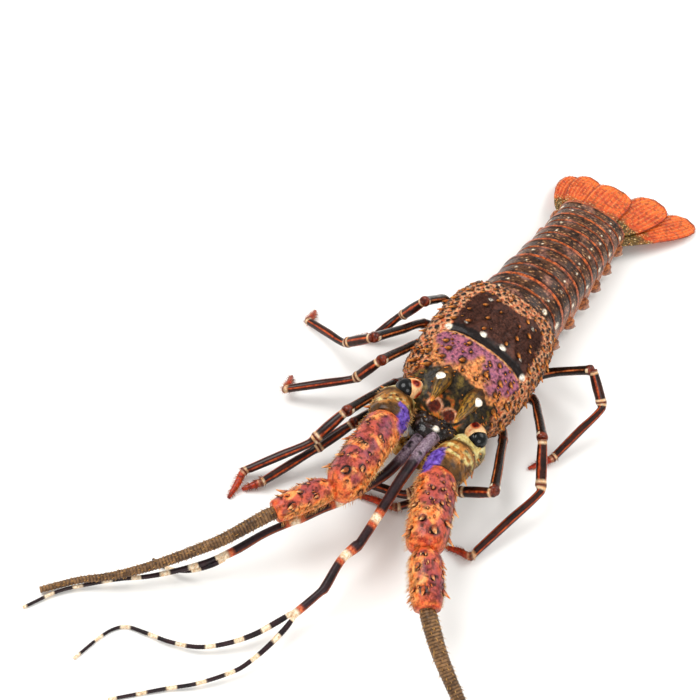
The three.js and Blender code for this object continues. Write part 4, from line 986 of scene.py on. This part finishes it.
HOOK_PROFILE = [(0, 3.2, 1.3), (0.3, 4.2, 1.9), (0.55, 3.2, 1.6), (0.8, 1.7, 1.0), (1, 0.4, 0.35)]
PADDLE_SIZE = (7.4, 4.8, 1.4)
PADDLE_TILT = -0.35
TAIL_WAIST = 15


def tail_point(plate, u, lift, turn, reach=1.0):
    """A point of a tail plate, u of the way along it, lift above its plain surface."""
    front, rear, ys, halves, tops, belly = plate
    half = mixed(halves[0], halves[1], u) + lift
    top = mixed(tops[0], tops[1], u) + lift
    up = math.cos(turn)
    skirt = max(0, 1 - abs(abs(turn) - 1.85) / 0.5)
    skirt = skirt * skirt * (3 - 2 * skirt)
    across = math.copysign(abs(math.sin(turn)) ** 0.92, math.sin(turn)) * (half + skirt * 1.2)
    if up > 0:
        height = TAIL_WAIST + (top - TAIL_WAIST) * up**0.92
    else:
        height = TAIL_WAIST - (TAIL_WAIST - belly) * min(1, -up * 1.5) - skirt * 5.5
    y = mixed(ys[0], ys[1], u) + across * reach
    return Vector((mixed(front, rear, u), y, mixed((top + belly) / 2, height, reach)))


def plate_lift(u):
    """The plate's profile from front to rear: a low neck, a raised middle, a furrow and a thick rear rim."""
    neck = -1.3 * (1 - ease(0.1, 0.2, u))
    furrow = -1.1 * math.exp(-(((u - 0.52) / 0.035) ** 2))
    rim = 0.55 * ease(0.84, 0.9, u) * (1 - ease(0.985, 1.0, u))
    return 0.35 + neck + furrow + rim


for index, plate in enumerate(TAIL):
    bm = ringed(72, 150, lambda t, turn, reach: tail_point(
        plate, t, plate_lift(t) * max(0.0, 1 - abs(turn) / 2.6), turn, reach))
    spots = [(tail_point(plate, 0.66, 0.4, side * 1.2), 1.5 if index else 2.2) for side in (1, -1)]
    spots += [(tail_point(plate, 0.36, 0.4, side * 0.62), 0.85 if index else 1.7) for side in (1, -1)]
    spots += [(tail_point(plate, 0.7, 0.4, side * 0.5), 0.7) for side in (1, -1)]
    spot_fill = near_points(spots)

    def fleck_place(plate=plate):
        u = draw.choice((draw.uniform(0.2, 0.44), draw.uniform(0.58, 0.84)))
        return tail_point(plate, u, 0.4, draw.uniform(-1.6, 1.6))

    fleck_fill = near_points(packed(420, fleck_place, 0.25, 0.6, 1.8))
    mask = masks_on(bm, "pink_sheen", "flap", "line", "shade", "belly", "fleck", "dot")
    for v in bm.verts:
        u = v[mask["along"]]
        side_turn = abs(v[mask["around"]])
        wave = noise.noise(v.co * 0.25) * 0.02
        furrow_line = math.exp(-(((u - 0.565 + wave) / 0.018) ** 2))
        rim_line = ease(0.89, 0.91, u + wave) * (1 - ease(0.985, 0.995, u) * 0.7)
        # Pinkish-grey patches at random places: a painted sheen, in place of the shell's reflections.
        v[mask["pink_sheen"]] = ease(0.0, 0.5, noise.noise(v.co * 0.14)) * 0.7
        v[mask["flap"]] = ease(1.25, 1.6, side_turn + wave * 6) * (1 - ease(2.1, 2.4, side_turn))
        v[mask["line"]] = max(furrow_line * 0.8, rim_line * 0.9) * (1 - ease(2.0, 2.3, side_turn))
        v[mask["fleck"]] = fleck_fill(v.co) * (1 - ease(1.7, 1.9, side_turn)) * 0.85
        v[mask["shade"]] = math.exp(-(((u - 0.51) / 0.03) ** 2)) + (1 - ease(0.12, 0.2, u))
        v[mask["belly"]] = ease(2.2, 2.5, side_turn)
        v[mask["dot"]] = spot_fill(v.co) * (1 - ease(1.9, 2.1, side_turn))
        v.co += v.normal * (v[mask["dot"]] * 0.14 + noise.noise(v.co * 1.3) * 0.1)
    for side in (1, -1):
        edge = plate[2][1] + side * plate[3][1]
        base = Vector((plate[1] + 8.6, edge - side * 1.4, 14.5))
        end = Vector((plate[1] - 1, edge + side * 4, 3.6))
        rows = []
        for t, wide, thick in HOOK_PROFILE:
            middle = base.lerp(end, t) + Vector((1.8, 0, -0.6)) * math.sin(math.pi * t)
            rows.append((middle.x, middle.y, middle.z, thick, wide))
        hook_place, _, _ = limb_surface(rows)
        for v in ringed_on(bm, 24, 18, hook_place):
            v[mask["flap"]] = 1.0
            v[mask["dot"]] = ease(6.5, 4, v.co.z) * 0.6
            v[mask["shade"]] = ease(0.2, 0.5, noise.noise(v.co * 0.6)) * 0.6
        if 0 < index < len(TAIL) - 1:
            paddle = bmesh.ops.create_uvsphere(bm, u_segments=20, v_segments=12, radius=1)["verts"]
            placed = bm.verts.layers.int.get("placed")
            for v in paddle:
                v[placed] = 1
                v[mask["belly"]] = 1.0
            bmesh.ops.scale(bm, verts=paddle, vec=PADDLE_SIZE)
            bmesh.ops.rotate(bm, verts=paddle, matrix=Matrix.Rotation(PADDLE_TILT, 3, "Y"))
            where = Vector((mixed(plate[0], plate[1], 0.55), plate[2][0] + side * 9, plate[5] - 0.6))
            bmesh.ops.translate(bm, verts=paddle, vec=where)
    for _ in range(70):
        side = draw.choice((1, -1))
        t = draw.uniform(0.3, 0.95)
        foot = tail_point(plate, t, 0, side * draw.uniform(1.75, 2.0))
        out = Vector((0, side * 0.8, -0.6)).normalized()
        bristle_roots["tail"].append((foot, out, Vector((-1, 0, -0.5)), draw.uniform(1.0, 2.0), 0.14))
    finished(f"tail_plate_{index + 1}", bm, [f"tail_segment_{index + 1}"], "tail_shell", tail_finish)


# The tail fan is a middle plate and two blades a side, hard, olive and spiny at the root, then leathery,
# ribbed and orange-red out to a thin fringed edge. All five are hinged to the last tail plate, the middle
# one on top. Each blade gives its layer in the stack and its rows.
FAN = {
    "telson": (2, [(-145, 6.6, 7), (-152, 6.4, 10.4), (-168, 6.6, 12), (-184, 7.4, 12.4),
                   (-193, 7.8, 11), (-198.6, 8, 6.6)]),
    "uropod_inner_right": (1, [(-146, -7, 3), (-154, -8, 5.6), (-169, -9.6, 8.6), (-184, -10, 9.4),
                               (-193, -9.6, 8), (-198.6, -9, 4.6)]),
    "uropod_inner_left": (1, [(-146, 19, 3), (-155, 20.6, 6), (-173, 24.6, 11), (-193, 29, 12.4),
                              (-204.6, 32, 10.6), (-211.6, 34, 5.6)]),
    "uropod_outer_right": (0, [(-145, -11, 3.4), (-154, -13.6, 6.4), (-168, -16.4, 8.6),
                               (-180, -17.6, 8.8), (-189, -17.6, 7), (-194, -17.2, 4)]),
    "uropod_outer_left": (0, [(-145, 23.6, 3.4), (-153, 27, 6), (-171, 35.6, 9.4), (-193, 47, 11),
                              (-205.6, 53.4, 9.6), (-212.6, 57, 5.4)]),
}
fan_finish = shell_finish("fan blade shell", (tone(232, 100, 34), tone(196, 64, 22)), [
    ("olive", tone(128, 96, 36), tone(72, 52, 22)),
    ("bright", tone(232, 78, 24), tone(246, 130, 50)),
    ("rib", tone(250, 164, 88), tone(236, 120, 54)),
    ("edge", tone(96, 22, 10), tone(160, 44, 18)),
    ("dot", tone(252, 226, 170), tone(236, 186, 116)),
    ("tip", tone(240, 150, 62), tone(252, 204, 124)),
], gloss=0.36, grain=520)
FAN_END = -214
FAN_RISE = 10.45 / 62
FAN_LOW = 0.75
LAYER_STEP = 2.15
FAN_RIBS = 26


def fan_height(x, level):
    return FAN_LOW + FAN_RISE * (x - FAN_END) + level * LAYER_STEP


def blade_surface(level, rows):
    """place(t, turn, reach, rib) for a blade whose rows are (x, y, half width)."""
    lengths = [0.0]
    for a, b in zip(rows, rows[1:]):
        lengths.append(lengths[-1] + math.hypot(b[0] - a[0], b[1] - a[1]))
    table = [(s / lengths[-1], *row) for s, row in zip(lengths, rows)]

    def place(t, turn, reach, rib=0.0):
        x, y, half = (between(table, t, k) for k in (1, 2, 3))
        if t > 0.93:
            half *= math.sqrt(max(0.02, 1 - ((t - 0.93) / 0.075) ** 2 * 0.62))
        dx = between(table, min(1, t + 0.02), 1) - between(table, max(0, t - 0.02), 1)
        dy = between(table, min(1, t + 0.02), 2) - between(table, max(0, t - 0.02), 2)
        size = math.hypot(dx, dy)
        sideways = math.sin(turn) * half * reach
        thick = 0.7 * (0.3 + 0.7 * abs(math.cos(turn)) ** 0.5) * (1 - 0.45 * t)
        px = x + dy / size * sideways
        lift = math.copysign(thick, math.cos(turn)) if abs(math.cos(turn)) > 0.01 else 0
        height = fan_height(px, level) + (lift + (rib if lift > 0 else 0)) * reach
        return Vector((px, y - dx / size * sideways, height))

    return place


for name, (level, rows) in FAN.items():
    blade_place = blade_surface(level, rows)

    def ribbed(t, turn, reach, blade_place=blade_place):
        across = math.sin(turn)
        keel = 0.35 * math.exp(-((across / 0.14) ** 2)) * (1 - t * 0.7)
        return blade_place(t, turn, reach, 0.16 * math.sin(across * FAN_RIBS) * ease(0.3, 0.42, t) + keel)

    bm = ringed(110, 110, ribbed)
    mask = masks_on(bm, "olive", "bright", "rib", "edge", "dot")
    pale_spots = near_points(packed(120, lambda: blade_place(
        draw.uniform(0.05, 0.4), draw.uniform(-1.4, 1.4), 1), 0.3, 0.55, 2))
    for v in bm.verts:
        t = v[mask["along"]]
        across = math.sin(v[mask["around"]])
        wave = noise.noise(v.co * 0.2) * 0.12
        v[mask["olive"]] = 1 - ease(0.26, 0.42, t + wave)
        v[mask["bright"]] = ease(0.72, 0.92, t + wave)
        v[mask["rib"]] = ease(0.2, 0.9, math.sin(across * FAN_RIBS)) * ease(0.35, 0.5, t) * 0.55
        v[mask["edge"]] = max(ease(0.95, 1.0, t), ease(0.93, 0.99, abs(across)) * ease(0.3, 0.5, t)) * 0.85
        v[mask["dot"]] = pale_spots(v.co)
        v.co.z = max(FLOOR_GAP, v.co.z + noise.noise(v.co * 0.3) * 0.25)
    for _ in range(26):
        t = draw.uniform(0.08, 0.42)
        foot = blade_place(t, draw.uniform(-1.2, 1.2), 1)
        spike(bm, foot, Vector((0, 0, 1)), Vector((-1, 0, 0.1)), 0.4, draw.uniform(0.8, 1.5), 5)
    finished(f"{name}_blade", bm, [name], "fan_shell", fan_finish)
    for _ in range(260):
        t = draw.uniform(0.5, 1.0)
        turn = draw.choice((1, -1)) * math.pi / 2 if t < 0.97 else draw.uniform(-math.pi / 2, math.pi / 2)
        foot = blade_place(t, turn, 0.99)
        out = (foot - blade_place(max(0, t - 0.1), 0, 0)).normalized()
        bristle_roots["fan"].append((foot, out, Vector((-1, 0, 0)), draw.uniform(0.8, 1.6), 0.12))


# The bristles are short stiff hairs of horn on the claws, under the tail, round the fan, along the feelers
# and the shield's edge, and a dark pile on its pads. Each grows from a pore in the shell, and is made as
# a thin three-sided cone with its foot sunk in the surface.
for side in ("right", "left"):
    sign = 1 if side == "left" else -1
    for part in ("second", "third", "base"):
        place, at, _ = limb_surface(ANTENNAE[side][part])
        for _ in range(300):
            t = draw.uniform(0.04, 0.96)
            turn = sign * draw.choice((
                draw.uniform(-1.5, -1.1), draw.uniform(-2.2, -1.9), draw.uniform(1.2, 1.5)))
            foot = place(t, turn, 1)
            middle, _, _, way, _, _ = at(t)
            inner = sign * turn < 0
            length_here = draw.uniform(2.0, 3.6) if inner else draw.uniform(1.0, 2.0)
            bristle_roots["feeler"].append((foot, (foot - middle).normalized(), way, length_here, 0.15))
for _ in range(700):
    x = draw.uniform(-30, 58)
    turn = draw.choice((1, -1)) * draw.uniform(1.0, 1.9)
    foot = carapace_point(x, turn)
    out = (foot - carapace_point(x, turn, 0)).normalized()
    bristle_roots["shield"].append((foot, out, Vector((1, 0, -0.2)), draw.uniform(0.9, 2.0), 0.14))
while len(bristle_roots["pile"]) < 4200:
    x = draw.uniform(-18, 15)
    degrees = draw.uniform(-66, 66)
    if pad_distance(x, degrees) < 1.0:
        foot = carapace_point(x, math.radians(degrees))
        out = (foot - carapace_point(x, math.radians(degrees), 0)).normalized()
        lean = Vector((0.5, 0, 0))
        bristle_roots["pile"].append((foot + out * 0.35, out, lean, draw.uniform(0.35, 0.75), 0.13))
BRISTLE_COATS = {
    "claw": ([f"leg_lower_{name}" for name in LEGS], "foot_shell", (tone(200, 110, 50), tone(120, 50, 20))),
    "tail": ([f"tail_segment_{k + 1}" for k in range(len(TAIL))], "tail_shell",
             (tone(206, 150, 92), tone(130, 76, 36))),
    "fan": (list(FAN), "fan_shell", (tone(226, 110, 50), tone(150, 56, 24))),
    "feeler": ([f"antenna_{part}_{side}" for part in ANTENNA_SPINES for side in ANTENNAE], "antenna_shell",
               (tone(250, 206, 140), tone(196, 120, 56))),
    "shield": (["carapace"], "carapace_shell", (tone(226, 140, 72), tone(140, 70, 30))),
    "pile": (["carapace"], "carapace_shell", (tone(96, 56, 42), tone(48, 26, 20))),
}
MAP_LEFT, MAP_LOW, MAP_SIZE = -230, -120, 520
PATCH = 0.0015
for group, (nodes, slot_name, colours) in BRISTLE_COATS.items():
    coat = bmesh.new()
    bake_map = coat.loops.layers.uv.new("OFBake")
    for foot, normal, lean, length, radius in bristle_roots[group]:
        stray = Vector([draw.uniform(-0.25, 0.25) for _ in range(3)])
        way = (normal * 0.75 + lean * 0.6 + stray).normalized()
        left, low = (foot.x - MAP_LEFT) / MAP_SIZE, (foot.y - MAP_LOW) / MAP_SIZE
        for face in bristle(coat, foot, way, length, radius):
            for k, loop in enumerate(face.loops):
                turn = k * math.tau / 3
                loop[bake_map].uv = (left + PATCH * math.cos(turn), low + PATCH * math.sin(turn))
    for v in coat.verts:
        v.co.z = max(FLOOR_GAP, v.co.z)
    coat_finish = shell_finish(f"{group} bristle", colours, [], gloss=0.5, grain=300, specks=0.3)
    finished(f"{group}_bristles", coat, nodes, slot_name, coat_finish)


# The floor is a matt pale board that the model lies on. With the soft light round it and the camera at
# the photograph's place it is the studio, and no part of the model.
floor_bm = bmesh.new()
bmesh.ops.create_grid(floor_bm, x_segments=2, y_segments=2, size=3)
floor_mesh = bpy.data.meshes.new("floor")
floor_bm.to_mesh(floor_mesh)
floor_bm.free()
floor = bpy.data.objects.new("floor", floor_mesh)
bpy.context.scene.collection.objects.link(floor)
floor_finish = bpy.data.materials.new("pale floor")
floor_finish.use_nodes = True
floor_shader = floor_finish.node_tree.nodes["Principled BSDF"]
floor_shader.inputs["Base Color"].default_value = tone(246, 245, 242)
floor_shader.inputs["Roughness"].default_value = 0.6
floor_mesh.materials.append(floor_finish)

world = bpy.data.worlds.new("studio")
bpy.context.scene.world = world
bpy.context.scene.view_settings.view_transform = "Standard"
world.use_nodes = True
world.node_tree.nodes["Background"].inputs["Color"].default_value = (1.0, 0.99, 0.97, 1)
world.node_tree.nodes["Background"].inputs["Strength"].default_value = 0.58
LAMPS = [
    ((0.35, -0.75, 1.1), (0.03, 0, 0), 0.9, 14), ((-0.7, 0.5, 1.2), (0, 0, 0), 1.0, 8),
    ((0.9, 0.8, 0.8), (0.05, 0, 0), 0.8, 6),
]
for place, aim, size, power in LAMPS:
    lamp = bpy.data.lights.new("softbox", "AREA")
    lamp.shape = "DISK"
    lamp.size = size
    lamp.energy = power
    holder = bpy.data.objects.new("softbox", lamp)
    holder.location = place
    holder.rotation_euler = (Vector(aim) - Vector(place)).to_track_quat("-Z", "Y").to_euler()
    bpy.context.scene.collection.objects.link(holder)

CAMERA_PLACE = Vector((0.47776, 0.06589, 0.53153))
CAMERA_WAY = Vector((-0.6379, -0.1834, -0.74796)).normalized()
CAMERA_UP = Vector((-0.5967, -0.49628, 0.63059))
lens = bpy.data.cameras.new("photo view")
lens.angle = math.radians(30)
lens.clip_start = 0.01
camera = bpy.data.objects.new("photo view", lens)
right = CAMERA_WAY.cross(CAMERA_UP).normalized()
turned = Matrix((right, right.cross(CAMERA_WAY), -CAMERA_WAY)).transposed().to_4x4()
camera.matrix_world = Matrix.Translation(CAMERA_PLACE) @ turned
bpy.context.scene.collection.objects.link(camera)
bpy.context.scene.camera = camera
